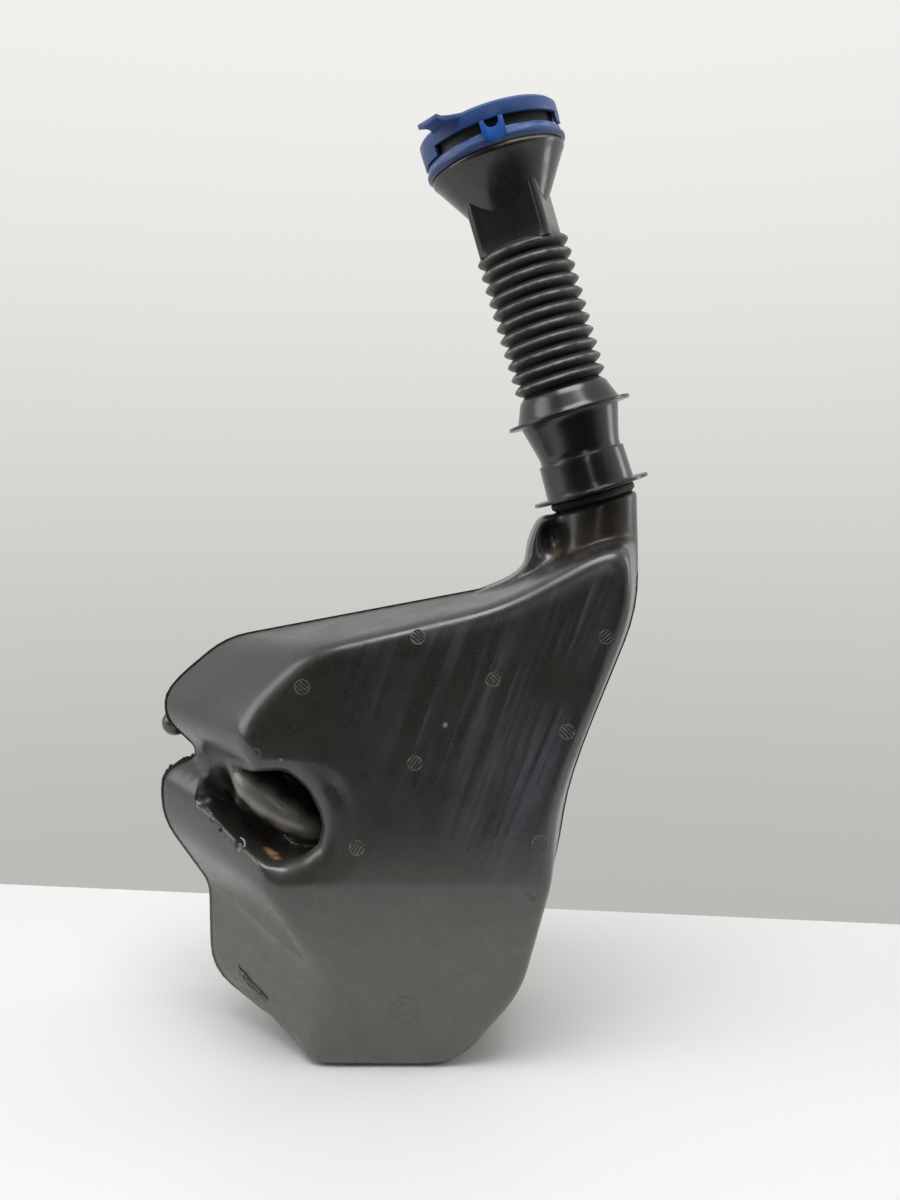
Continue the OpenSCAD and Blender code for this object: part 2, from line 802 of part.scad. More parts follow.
// A curved bar of the cap between two bearings
module cap_arc(r1, r2, s1, s2, turn, width) {
    sweep = width / r2 * 180 / PI;
    rotate([0, 0, turn - sweep / 2]) rotate_extrude(angle = sweep)
        translate([r1, s1]) square([r2 - r1, s2 - s1]);
}

// Ring in two tiers, with the forked lug at the front and the hinge post at the back
module cap_ring() {
    bore_r = mouth_r + push_play;
    round = 1.2;
    tier_s = bead_end_s + ring_tier_h;
    tier_r = ring_r - ring_tier_set;
    post_r = hinge_bore_r + hinge_t;
    lug_end_s = band_s - lid_gap;
    lug_notch_s = lug_end_s - lug_notch_d + lug_notch_r;
    color([0.1, 0.22, 0.5]) on_neck() {
        rotate_extrude()
            polygon([
                [bore_r, bead_end_s],
                [ring_r - round, bead_end_s],
                [ring_r, bead_end_s + round],
                [ring_r, tier_s - ring_tier_set / 2],
                [tier_r, tier_s],
                [tier_r, ring_end_s - round / 2],
                [tier_r - round / 2, ring_end_s],
                [bore_r, ring_end_s]
            ]);
        difference() {
            cap_arc(lid_r - skirt_t, ring_r + 0.6, bead_end_s + 1, lug_end_s, lug_turn, lug_w);
            rotate([0, 0, lug_turn]) translate([0, 0, lug_notch_s]) {
                rotate([0, 90, 0]) cylinder(h = 2 * ring_r, r = lug_notch_r);
                translate([0, -lug_notch_r, 0]) cube([2 * ring_r, 2 * lug_notch_r, lug_notch_d]);
            }
        }
        cap_arc(tier_r - 1, post_r, bead_end_s + 1, ring_end_s - 0.2, hinge_turn, hinge_w);
        cap_arc(hinge_bore_r, post_r, bead_end_s + 1, hinge_s - lid_gap, hinge_turn, hinge_w);
    }
}

// Skirt feet that come down to the ring: bearing and width
lid_feet = [[192, 22], [339, 6], [121, 6]];

// Lifting tab, waisted where it leaves the lid
module lid_tab() {
    set = 0.1;
    root_w = tab_w * 1.7;
    waist_w = tab_w * 0.8;
    half = [
        [lid_r - 3, root_w / 2],
        [lid_r + tab_l * 0.25, tab_w / 2],
        [lid_r + tab_l * 0.6, waist_w / 2],
        [lid_r + tab_l, tab_w / 2]
    ];
    rotate([0, 0, tab_turn]) translate([0, 0, lid_under_s + set]) linear_extrude(height = lid_t - 2 * set)
        polygon(concat(half, [for (p = reversed(half)) [p.x, -p.y]]));
}

module cap_lid() {
    ease = 1.2;
    foot_set = 0.1;
    strip_s = hinge_s + lid_gap / 2;
    hinge_clear_s = lid_under_s - 1.5;
    hinge_clear_w = 3 * hinge_w;
    color([0.1, 0.22, 0.5]) on_neck() difference() {
        union() {
            rotate_extrude()
                polygon([
                    [0, lid_under_s],
                    [plug_r - plug_t, lid_under_s],
                    [plug_r - plug_taper - plug_t, lid_under_s - plug_d],
                    [plug_r - plug_taper, lid_under_s - plug_d],
                    [plug_r, lid_under_s],
                    [skirt_bore_r, lid_under_s],
                    [skirt_bore_r, band_s],
                    [lid_r, band_s],
                    [lid_r, lid_end_s - ease],
                    [lid_r - ease, lid_end_s],
                    [lid_r - 4, lid_end_s],
                    [lid_r - 5, lid_end_s - 0.6],
                    [0, lid_end_s - 0.6]
                ]);
            for (f = lid_feet)
                cap_arc(skirt_bore_r + foot_set, lid_r - foot_set, foot_s, band_s + past, f[0], f[1]);
            lid_tab();
            cap_arc(lid_r - 2, hinge_r - 2 * lid_gap, strip_s, lid_end_s - 0.2, hinge_turn, hinge_w);
        }
        rotate([0, 0, hinge_turn]) translate([skirt_bore_r * 0.5, -hinge_clear_w / 2, band_s - past])
            difference() {
                cube([lid_r, hinge_clear_w, hinge_clear_s - band_s + past]);
                translate([-skirt_bore_r * 0.5, hinge_clear_w / 2, -past])
                    cylinder(h = plug_d + 2 * past, r = plug_r + lid_gap / 2);
            }
    }
}

// Rubber grommet, flanged on both sides of the wall
module pump_grommet() {
    outer_r = port_r + grommet_lip;
    body_r = port_r - push_play;
    color([0.06, 0.06, 0.06]) translate([recess_x, recess_y, port_h]) rotate([-90, 0, 0]) rotate_extrude()
        polygon([
            [grommet_bore_r, -wall - grommet_t],
            [body_r + grommet_lip / 2, -wall - grommet_t],
            [outer_r - 0.8, -wall],
            [body_r, -wall],
            [body_r, 0],
            [outer_r, 0],
            [outer_r, grommet_t - 0.6],
            [outer_r - 0.6, grommet_t],
            [grommet_bore_r, grommet_t]
        ]);
}

tank();
neck_seal();
neck_coupling();
filler_neck();
cap_ring();
cap_lid();
pump_grommet();
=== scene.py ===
"""Looks of a washer fluid reservoir: a blown tank, a bellows filler neck and a hinged snap cap."""

import math

import bmesh
import bpy
from mathutils import Matrix, Vector, noise
from mathutils.bvhtree import BVHTree


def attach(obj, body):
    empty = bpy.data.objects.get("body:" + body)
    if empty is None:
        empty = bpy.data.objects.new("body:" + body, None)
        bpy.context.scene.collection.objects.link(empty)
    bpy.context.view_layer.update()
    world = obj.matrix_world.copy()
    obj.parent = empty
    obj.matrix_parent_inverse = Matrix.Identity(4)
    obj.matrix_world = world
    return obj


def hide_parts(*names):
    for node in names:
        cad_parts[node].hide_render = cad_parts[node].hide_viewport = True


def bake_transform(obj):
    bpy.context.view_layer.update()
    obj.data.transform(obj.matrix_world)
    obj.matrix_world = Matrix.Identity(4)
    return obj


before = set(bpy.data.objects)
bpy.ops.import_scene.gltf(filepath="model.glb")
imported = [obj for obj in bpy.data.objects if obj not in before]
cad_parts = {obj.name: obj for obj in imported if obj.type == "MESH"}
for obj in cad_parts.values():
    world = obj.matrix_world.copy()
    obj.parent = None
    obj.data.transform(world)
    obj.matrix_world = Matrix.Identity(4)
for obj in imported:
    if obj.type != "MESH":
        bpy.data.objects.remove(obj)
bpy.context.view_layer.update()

MM = 0.001
SCENE = bpy.context.scene

# The neck's own frame: its origin on the tank's rim, its Z along the neck
NECK_RIM = Vector((89, 0, 233.5)) * MM
NECK_TILT = 16.7
NECK = Matrix.Translation(NECK_RIM) @ Matrix.Rotation(-math.radians(NECK_TILT), 4, "Y")

# Copies of nodes: the gap that is closed in millimetres, then in degrees what counts as flat
# and which edges are eased
JOIN_GAP = 0.002
FLAT_ANGLE = 0.2
EASE_ANGLE = 34
EASE_STEPS = 2


def bearing(turn):
    """A turn about the neck, in degrees, as a matrix in the neck's frame."""
    return Matrix.Rotation(math.radians(turn), 4, "Z")


def on_neck(radius, turn, height):
    """A point of the neck, in metres, from its radius, bearing and height in millimetres."""
    return NECK @ bearing(turn) @ (Vector((radius, 0, height)) * MM)


def raw_object(name, bm):
    """A new object that holds what the bmesh holds."""
    mesh = bpy.data.meshes.new(name)
    bm.to_mesh(mesh)
    bm.free()
    obj = bpy.data.objects.new(name, mesh)
    SCENE.collection.objects.link(obj)
    return obj


def apply_modifiers(obj):
    """Makes the result of the object's modifiers its own mesh."""
    graph = bpy.context.evaluated_depsgraph_get()
    finished = bpy.data.meshes.new_from_object(obj.evaluated_get(graph))
    old = obj.data
    name = old.name
    obj.modifiers.clear()
    obj.data = finished
    bpy.data.meshes.remove(old)
    finished.name = name


def add_wall(obj, thickness, offset):
    """Gives a sheet its thickness: offset -1 goes inwards, 0 both ways."""
    wall = obj.modifiers.new("wall", "SOLIDIFY")
    wall.thickness = thickness * MM
    wall.offset = offset
    apply_modifiers(obj)


def shade(obj, angle):
    """Smooth shading, with edges sharper than the angle kept crisp."""
    obj.data.shade_smooth()
    obj.data.set_sharp_from_angle(angle=math.radians(angle))


def dress(obj, body, material):
    """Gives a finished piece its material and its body."""
    obj.data.materials.clear()
    obj.data.materials.append(material)
    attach(obj, body)


def merged_copy(node):
    """The node's triangles, joined where they meet."""
    bm = bmesh.new()
    bm.from_mesh(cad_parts[node].data)
    bmesh.ops.remove_doubles(bm, verts=bm.verts, dist=JOIN_GAP * MM)
    return bm


def eased_copy(node, name, width):
    """A copy of a node with its flat triangles joined and its sharp edges eased."""
    bm = merged_copy(node)
    bmesh.ops.dissolve_limit(
        bm, angle_limit=math.radians(FLAT_ANGLE), verts=bm.verts, edges=bm.edges,
        delimit={"NORMAL"},
    )
    obj = raw_object(name, bm)
    ease = obj.modifiers.new("ease", "BEVEL")
    ease.limit_method = "ANGLE"
    ease.angle_limit = math.radians(EASE_ANGLE)
    ease.width = width * MM
    ease.segments = EASE_STEPS
    apply_modifiers(obj)
    shade(obj, angle=40)
    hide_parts(node)
    return obj


def new_verts(result):
    """The points among what a bmesh operator made."""
    return [g for g in result["geom"] if isinstance(g, bmesh.types.BMVert)]


def turn_profile(bm, profile, place, steps, sweep=math.tau):
    """Turns a closed profile of radius and height, in millimetres, round the Z of its place."""
    part = bmesh.new()
    line = [part.verts.new((r * MM, 0, s * MM)) for r, s in profile]
    edges = [part.edges.new(pair) for pair in zip(line, line[1:] + line[:1])]
    full = sweep == math.tau
    if not full:
        part.faces.new(line)
    ends = bmesh.ops.spin(
        part, geom=line + edges, axis=(0, 0, 1), cent=(0, 0, 0), angle=sweep, steps=steps,
        use_merge=full,
    )
    if not full:
        far = [e for e in ends["geom_last"] if isinstance(e, bmesh.types.BMEdge)]
        bmesh.ops.contextual_create(part, geom=far)
    bmesh.ops.recalc_face_normals(part, faces=part.faces)
    bmesh.ops.transform(part, matrix=place, verts=part.verts)
    carrier = bpy.data.meshes.new("carrier")
    part.to_mesh(carrier)
    part.free()
    bm.from_mesh(carrier)
    bpy.data.meshes.remove(carrier)


# Materials

# Range that holds most of a noise's values
NOISE_RANGE = (0.3, 0.7)


def set_range(change, low, high, to_low, to_high):
    """Sets the two ranges of a Map Range node."""
    keys = ("From Min", "From Max", "To Min", "To Max")
    for key, number in zip(keys, (low, high, to_low, to_high)):
        change.inputs[key].default_value = number


class Nodes:
    """Shorthand for wiring one material."""

    def __init__(self, name):
        self.material = bpy.data.materials.new(name)
        self.material.use_nodes = True
        self.tree = self.material.node_tree
        self.tree.nodes.clear()
        self.shader = self.add("ShaderNodeBsdfPrincipled")
        out = self.add("ShaderNodeOutputMaterial")
        self.join(self.shader.outputs["BSDF"], out.inputs["Surface"])
        self.place = self.add("ShaderNodeTexCoord").outputs["Object"]

    def add(self, kind, **settings):
        made = self.tree.nodes.new(kind)
        for key, value in settings.items():
            setattr(made, key, value)
        return made

    def join(self, source, target):
        self.tree.links.new(source, target)

    def mapped(self, vector, scale=(1, 1, 1), turn=(0, 0, 0), shift=(0, 0, 0)):
        mapping = self.add("ShaderNodeMapping")
        mapping.inputs["Location"].default_value = shift
        mapping.inputs["Rotation"].default_value = [math.radians(a) for a in turn]
        mapping.inputs["Scale"].default_value = scale
        self.join(vector, mapping.inputs["Vector"])
        return mapping.outputs["Vector"]

    def turned(self, turn, scale):
        """Object coordinates turned, then stretched along the new axes."""
        return self.mapped(self.mapped(self.place, turn=turn), scale=scale)

    def neck_place(self):
        """Coordinates in the neck's own frame."""
        back = -(Matrix.Rotation(math.radians(NECK_TILT), 3, "Y") @ NECK_RIM)
        return self.mapped(self.place, turn=(0, NECK_TILT, 0), shift=back)

    def neck_radius(self):
        """Distance from the neck's axis."""
        flat = self.mapped(self.neck_place(), scale=(1, 1, 0))
        size = self.add("ShaderNodeVectorMath", operation="LENGTH")
        self.join(flat, size.inputs[0])
        return size.outputs["Value"]

    def height(self, vector):
        parts = self.add("ShaderNodeSeparateXYZ")
        self.join(vector, parts.inputs["Vector"])
        return parts.outputs["Z"]

    def noise(self, scale, detail, roughness=0.55, vector=None):
        texture = self.add("ShaderNodeTexNoise")
        texture.inputs["Scale"].default_value = scale
        texture.inputs["Detail"].default_value = detail
        texture.inputs["Roughness"].default_value = roughness
        self.join(vector or self.place, texture.inputs["Vector"])
        return texture.outputs["Fac"]

    def neck_streaks(self, across, along, detail):
        """Noise that is stretched along the neck: how fine it is across and along it."""
        stretched = self.turned((0, NECK_TILT, 0), (across, across, along))
        return self.noise(1.0, detail, vector=stretched)

    def spread(self, value, low, high, to_low=0.0, to_high=1.0):
        """A value from one range to another, held at its ends."""
        change = self.add("ShaderNodeMapRange", clamp=True)
        set_range(change, low, high, to_low, to_high)
        self.join(value, change.inputs["Value"])
        return change.outputs["Result"]

    def varied(self, value, low=0.0, high=1.0):
        """The usual range of a noise spread over another."""
        return self.spread(value, *NOISE_RANGE, low, high)

    def step(self, operation, a, b):
        """One math step on two values, each a socket or a number."""
        step = self.add("ShaderNodeMath", operation=operation)
        for socket, value in zip(step.inputs, (a, b)):
            if isinstance(value, (int, float)):
                socket.default_value = value
            else:
                self.join(value, socket)
        return step.outputs["Value"]

    def product(self, *values):
        result = values[0]
        for value in values[1:]:
            result = self.step("MULTIPLY", result, value)
        return result

    def near(self, centre, reach, soft):
        """1 within reach of a point in metres, 0 beyond reach plus soft, these in millimetres."""
        away = self.add("ShaderNodeVectorMath", operation="DISTANCE")
        away.inputs[1].default_value = centre
        self.join(self.place, away.inputs[0])
        return self.spread(away.outputs["Value"], reach * MM, (reach + soft) * MM, 1.0, 0.0)

    def patch(self, centre, reach, soft):
        """1 near a point, as above, with the point in millimetres."""
        return self.near(Vector(centre) * MM, reach, soft)

    def band(self, value, low, high, soft):
        """1 between two values in millimetres, fading over soft outside them."""
        rise = self.spread(value, (low - soft) * MM, low * MM)
        fall = self.spread(value, high * MM, (high + soft) * MM, 1.0, 0.0)
        return self.product(rise, fall)

    def blend(self, share, first, second):
        """Two colours mixed by a share; each is a socket or a colour."""
        mix = self.add("ShaderNodeMix", data_type="RGBA")
        self.join(share, mix.inputs["Factor"])
        for socket, value in ((mix.inputs["A"], first), (mix.inputs["B"], second)):
            if isinstance(value, tuple):
                socket.default_value = (*value, 1)
            else:
                self.join(value, socket)
        return mix.outputs["Result"]

    def relief(self, height, strength, distance):
        """Bump from a height, in millimetres; stacks on what is wired before."""
        bump = self.add("ShaderNodeBump")
        bump.inputs["Strength"].default_value = strength
        bump.inputs["Distance"].default_value = distance * MM
        self.join(height, bump.inputs["Height"])
        normal = self.shader.inputs["Normal"]
        if normal.is_linked:
            self.join(normal.links[0].from_socket, bump.inputs["Normal"])
        self.join(bump.outputs["Normal"], normal)

    def colour(self, value):
        self.join(value, self.shader.inputs["Base Color"])

    def rough(self, value):
        self.join(value, self.shader.inputs["Roughness"])

    def gloss(self, level):
        """How strongly it mirrors: a socket or a number."""
        socket = self.shader.inputs["Specular IOR Level"]
        if isinstance(level, float):
            socket.default_value = level
        else:
            self.join(level, socket)


# Colours of the tank: its clean plastic, what lies on it or rubs it, and painted light, shade and
# reflection
TANK_TONES = (0.0165, 0.0148, 0.0122), (0.028, 0.0255, 0.0212)
FOOT_DUST_AND_TABLE_REFLECTION = (0.085, 0.079, 0.064)
SCRATCH_GREY = (0.095, 0.095, 0.1)
HAZE_BLUE = (0.085, 0.094, 0.115)
TOWER_BROWN = (0.027, 0.0205, 0.014)
HOLLOW_PAINTED_SHADE = (0.005, 0.0047, 0.004)
SPECKLE_GREY = (0.07, 0.066, 0.056)
RIDGE_LIT_GREY = (0.2, 0.188, 0.16)

# Heights in metres between which the paler foot, dust together with painted reflection of the white
# table, thins out
FOOT_TOP = (0.055, 0.105)

# Patches on the tank: place, reach and soft edge in millimetres
SCRATCHED = ((62, -50, 165), 24, 62)
HAZED = ((63, -50, 118), 10, 34)
TOWER = ((90, -18, 226), 15, 9)
# The hollow is the pocket's deep trough, darkened with painted shade
HOLLOW = ((-67, -16, 115), 8, 5)

# Slant of the scratches in degrees, and how fine they are across and along it
SCRATCH_TURN = (0, -20, 0)
SCRATCH_FINE = (330, 90, 11)

# Painted light on the pocket's ridge, paler where it stands lit: place, reach and soft edge in
# millimetres, and how strongly it is painted
RIDGE_PAINTED_LIGHT = [
    ((-57, -33, 120), 3.5, 4.5, 0.75),
    ((-48, -38, 114), 4, 5, 0.75),
    ((-37, -38, 107), 4, 5, 0.75),
    ((-26, -37, 100), 4.5, 5, 0.8),
]

# Stains on the tank: place, reach and soft edge in millimetres, then colour
STAINS = [
    ((-45.9, -32.0, 92.6), 1.3, 1.6, (0.4, 0.22, 0.11)),
    ((-44.1, -34.5, 92.0), 1.6, 1.8, (0.5, 0.29, 0.15)),
    ((-41.8, -38.8, 91.4), 1.2, 1.8, (0.38, 0.22, 0.12)),
    ((71.9, -8.5, 211.1), 1.6, 3.0, (0.12, 0.075, 0.04)),
    ((26.1, -49.7, 147.7), 0.5, 0.9, (0.25, 0.24, 0.225)),
    ((-37.5, -49.7, 134.0), 0.3, 0.5, (0.3, 0.29, 0.28)),
]


def tank_plastic():
    """Blown polyethylene: near black, softly wavy, scuffed, and paler towards its foot with dust
    and painted reflection of the table.
    """
    n = Nodes("tank_plastic")
    cloud = n.noise(14, detail=5)
    mottle = n.noise(160, detail=2)
    speckle = n.noise(320, detail=2, roughness=0.6)
    tone = n.blend(n.varied(cloud), *TANK_TONES)
    # Paler towards the foot: dust, and painted reflection of the white table on the lower face
    foot = n.spread(n.height(n.place), *FOOT_TOP, 1.0, 0.0)
    foot = n.product(foot, n.spread(mottle, 0.25, 0.7, 0.62, 1.0))
    tone = n.blend(foot, tone, FOOT_DUST_AND_TABLE_REFLECTION)
    slanted = n.turned(SCRATCH_TURN, SCRATCH_FINE)
    streaks = n.noise(1.0, detail=6, roughness=0.68, vector=slanted)
    worn = n.product(n.patch(*SCRATCHED), n.spread(n.noise(24, detail=3), 0.36, 0.6))
    scratch = n.product(n.spread(streaks, 0.47, 0.7), worn, 0.8)
    tone = n.blend(scratch, tone, SCRATCH_GREY)
    haze = n.product(n.patch(*HAZED), n.spread(streaks, 0.36, 0.68), 0.75)
    tone = n.blend(haze, tone, HAZE_BLUE)
    tower = n.patch(*TOWER)
    tone = n.blend(n.product(tower, n.varied(mottle, 0.5, 1.0), 0.8), tone, TOWER_BROWN)
    # Painted shade in the pocket's deep trough, where it also mirrors less
    hollow = n.patch(*HOLLOW)
    tone = n.blend(n.product(hollow, 0.8), tone, HOLLOW_PAINTED_SHADE)
    tone = n.blend(n.product(n.spread(speckle, 0.5, 0.75), 0.16), tone, SPECKLE_GREY)
    # Painted light on the pocket's ridge, patchy with the cloud
    ridge_light_patches = n.spread(cloud, 0.2, 0.7, 0.7, 1.0)
    for *place, share in RIDGE_PAINTED_LIGHT:
        tone = n.blend(n.product(n.patch(*place), ridge_light_patches, share), tone, RIDGE_LIT_GREY)
    grain = n.spread(n.noise(900, detail=3), 0.3, 0.55)
    for *place, colour in STAINS:
        tone = n.blend(n.product(n.patch(*place), grain), tone, colour)
    n.colour(tone)
    n.rough(n.varied(n.noise(60, detail=4), 0.23, 0.36))
    n.relief(n.noise(70, detail=3), strength=0.14, distance=0.5)
    n.relief(mottle, strength=0.12, distance=0.16)
    dull = n.step("MAXIMUM", hollow, n.product(tower, 0.7))
    n.gloss(n.spread(dull, 0.0, 1.0, 0.85, 0.12))
    return n.material


COUPLING_TONES = (0.006, 0.006, 0.006), (0.013, 0.0125, 0.012)


def coupling_plastic():
    """Glossy moulded black plastic with faint rub marks along it."""
    n = Nodes("coupling_plastic")
    n.colour(n.blend(n.spread(n.noise(30, detail=4), 0.35, 0.7), *COUPLING_TONES))
    n.rough(n.spread(n.neck_streaks(220, 30, detail=5), 0.35, 0.75, 0.21, 0.28))
    n.relief(n.noise(60, detail=3), strength=0.08, distance=0.3)
    n.gloss(0.7)
    return n.material


# Colours of the filler neck
BELLOWS_TONES = (0.021, 0.0215, 0.0182), (0.038, 0.0382, 0.0318)
FOLD_TIP_PALE = (0.23, 0.225, 0.205)
FUNNEL_BLACK = (0.012, 0.0125, 0.0105)
BEAD_HIGHLIGHT_TAN = (0.3, 0.225, 0.14)

# Radii of the paler tips of the folds, in millimetres
FOLD_TIPS = (19.2, 19.8)

# Heights along the neck, in metres: end of the paler tips, change from folds to tube, foot of the
# mouth
TIP_PALE_END = (0.108, 0.112)
FOLDS_END = (0.108, 0.114)
MOUTH_FOOT = (0.1435, 0.1445)

# Painted highlight line on the bead under the ring: its heights along the neck, and its middle as
# radius, bearing and height
BEAD_S = (143.1, 143.9)
BEAD_PLACE = (27.8, 292, 143.4)


def bellows_plastic():
    """Satin dark grey-green plastic, paler on the tips of the folds, with a painted highlight line
    on the bead under the ring.
    """
    n = Nodes("bellows_plastic")
    up = n.height(n.neck_place())
    tone = n.blend(n.varied(n.noise(26, detail=5)), *BELLOWS_TONES)
    paling = n.product(
        n.band(n.neck_radius(), *FOLD_TIPS, 0.25),
        n.spread(n.noise(240, detail=4), 0.35, 0.65),
        n.spread(up, *TIP_PALE_END, 1.0, 0.0),
    )
    tone = n.blend(paling, tone, FOLD_TIP_PALE)
    tone = n.blend(n.spread(up, *FOLDS_END, 0.0, 0.6), tone, FUNNEL_BLACK)
    # Painted highlight line on the bead under the ring
    bead_highlight = n.product(n.band(up, *BEAD_S, 0.3), n.near(on_neck(*BEAD_PLACE), 7, 9))
    tone = n.blend(bead_highlight, tone, BEAD_HIGHLIGHT_TAN)
    n.colour(tone)
    folds = n.spread(up, *FOLDS_END, 0.24, 0.0)
    mouth = n.spread(up, *MOUTH_FOOT, 0.0, 0.4)
    neck_streaks = n.spread(n.neck_streaks(260, 24, detail=5), 0.35, 0.75, 0.16, 0.32)
    n.rough(n.step("ADD", neck_streaks, n.step("ADD", folds, mouth)))
    n.relief(n.noise(120, detail=3), strength=0.12, distance=0.2)
    n.gloss(0.6)
    return n.material


# Colours of the cap: its plastic, painted highlight streaks on the ring's upper tier and painted
# shade on its lower tier, the forked lug
CAP_TONES = (0.021, 0.06, 0.2), (0.036, 0.088, 0.255)
UPPER_TIER_HIGHLIGHT_BLUE = (0.2, 0.28, 0.5)
LOWER_TIER_SHADE_BLUE = (0.011, 0.033, 0.115)
LUG_BLUE = (0.004, 0.085, 0.39)

# Heights along the neck of the upper tier in millimetres, and of the lower tier's top in metres
UPPER_TIER_S = (147.2, 149.6)
LOWER_TIER_TOP = (0.1456, 0.1466)

# Middle of the forked lug as radius, bearing and height
LUG_PLACE = (30.2, 267, 149.6)


def cap_plastic():
    """Blue moulded cap plastic, with painted highlight streaks on the ring's upper tier and painted
    shade on its lower tier, deeper on the lug.
    """
    n = Nodes("cap_plastic")
    up = n.height(n.neck_place())
    tone = n.blend(n.varied(n.noise(40, detail=4)), *CAP_TONES)
    streaks = n.spread(n.neck_streaks(120, 900, detail=4), 0.42, 0.66)
    # Painted highlight streaks on the upper tier, then painted shade on the lower tier
    tone = n.blend(n.product(n.band(up, *UPPER_TIER_S, 0.3), streaks, 0.75), tone, UPPER_TIER_HIGHLIGHT_BLUE)
    tone = n.blend(n.spread(up, *LOWER_TIER_TOP, 0.65, 0.0), tone, LOWER_TIER_SHADE_BLUE)
    tone = n.blend(n.near(on_neck(*LUG_PLACE), 4.6, 0.8), tone, LUG_BLUE)
    n.colour(tone)
    n.rough(n.varied(n.noise(140, detail=4), 0.28, 0.42))
    n.relief(n.noise(160, detail=2), strength=0.08, distance=0.12)
    return n.material


RUBBER_TONES = (0.014, 0.0125, 0.011), (0.028, 0.0245, 0.02)


def seal_rubber():
    """Dull black rubber."""
    n = Nodes("seal_rubber")
    speck = n.noise(400, detail=3)
    n.colour(n.blend(n.spread(speck, 0.35, 0.7), *RUBBER_TONES))
    n.rough(n.varied(n.noise(90, detail=3), 0.6, 0.78))
    n.relief(speck, strength=0.15, distance=0.08)
    return n.material


TORN_HIGHLIGHT_TONES = (0.2, 0.2, 0.21), (0.5, 0.5, 0.52)


def torn_edge_highlight():
    """Painted highlight on the torn edges of the tank's plastic: pale and shiny."""
    n = Nodes("torn_edge_highlight")
    fibre = n.noise(700, detail=4)
    n.colour(n.blend(n.varied(fibre), *TORN_HIGHLIGHT_TONES))
    n.rough(n.varied(fibre, 0.22, 0.4))
    n.relief(fibre, strength=0.3, distance=0.1)
    return n.material


PALE_MARK_TONES = (0.05, 0.047, 0.039), (0.15, 0.142, 0.12)


def pale_mark_plastic():
    """The tank's plastic, paler on the raised marks."""
    n = Nodes("pale_mark_plastic")
    paling = n.noise(420, detail=4)
    n.colour(n.blend(n.spread(paling, 0.35, 0.65), *PALE_MARK_TONES))
    n.rough(n.varied(paling, 0.3, 0.46))
    n.relief(paling, strength=0.15, distance=0.08)
    return n.material


TANK = tank_plastic()
PALE_MARK = pale_mark_plastic()
TORN_EDGE_HIGHLIGHT = torn_edge_highlight()
COUPLING = coupling_plastic()
BELLOWS = bellows_plastic()
CAP = cap_plastic()
RUBBER = seal_rubber()


# Tank

# Its skin: size of the even mesh in millimetres, rounds of softening, share of faces kept
TANK_VOXEL = 1.1
TANK_SOFTEN = 7
TANK_KEEP = 0.4

# Share of its depth that the front half keeps, so that raised marks stay within the outline
FRONT_KEEP = 0.994

# Front face: how far forward it lies, height of its crease, and its lean below that
FACE_Y = -50.0
CREASE_Z = 82.0
LOWER_LEAN = math.radians(11)

# Broad ridge across the pocket: middle, the way it runs, and half its length, width and depth
RIDGE_MIDDLE = Vector((-42.0, -25.0, 109.8))
RIDGE_WAY = Vector((0.82, -0.06, -0.57)).normalized()
RIDGE_HALF = (24.0, 9.5, 13.0)

# Roll of the pocket's lip round its right end: middle line across and up, step between its beads,
# radius, and how far forward it lies
LIP_LINE = [
    (-36.0, 135.2), (-29.0, 131.4), (-22.0, 124.6), (-16.8, 113.4), (-15.3, 105.0),
    (-17.8, 93.6), (-26.2, 87.2), (-34.0, 84.6), (-39.0, 83.6),
]
LIP_STEP = 2.0
LIP_RADIUS = 7.4
LIP_Y = -42.0

# Trough left of the ridge: middle across and up, half width and height, its floor and its mouth
TROUGH_MIDDLE = (-68.0, 114.5)
TROUGH_HALF = (9.5, 8.5)
TROUGH_FLOOR = -14.5
TROUGH_MOUTH = -36.0

# Band along the mould seam that lies smooth under its flash: half width, where it ends below the
# neck, and rounds of smoothing
SEAM_BAND = 2.0
SEAM_TOP = 222.0
SEAM_ROUNDS = 8

# Places that are softer than the rest: line of points, radius and rounds of smoothing
SOFT_PLACES = [
    ([(70.5, -11, 216)], 13, 24),
    ([(-67, -18, 115)], 12, 60),
    ([(-22, -46, 126), (-12, -48, 105), (-22, -48, 84), (-44, -47, 82)], 7.5, 26),
    (
        [
            (-47.9, -49, 152.4), (-24.5, -49, 175.7), (11.6, -49, 187.3), (54.7, -49, 200),
            (89.9, -48, 216.4),
        ],
        10, 50,
    ),
]
SOFT_STEP = 3.0


def ridge_frame():
    """Frame of the pocket's ridge: X along it, Z out of the pocket."""
    out = Vector((0, -1, 0))
    out = (out - RIDGE_WAY * out.dot(RIDGE_WAY)).normalized()
    turn = Matrix((RIDGE_WAY, out.cross(RIDGE_WAY), out)).transposed().to_4x4()
    size = Matrix.Diagonal((*(h * MM for h in RIDGE_HALF), 1))
    return Matrix.Translation(RIDGE_MIDDLE * MM) @ turn @ size


def line_points(line, step):
    """Points along a line, no more than a step apart."""
    points = [Vector(line[0])]
    for start, end in zip(line, line[1:]):
        start, end = Vector(start), Vector(end)
        count = math.ceil((end - start).length / step)
        points += [start.lerp(end, k / count) for k in range(1, count + 1)]
    return points


def add_pocket_lip(bm):
    """Beads close together along the lip, which the even skin then joins to one roll."""
    for x, z in line_points(LIP_LINE, LIP_STEP):
        middle = Matrix.Translation(Vector((x, LIP_Y, z)) * MM)
        bmesh.ops.create_icosphere(bm, subdivisions=3, radius=LIP_RADIUS * MM, matrix=middle)


def fade(share):
    """1 in the inner half of a place, easing to 0 at its edge."""
    t = max(0.0, min(1.0, (1 - share) / 0.5))
    return t * t * (3 - 2 * t)


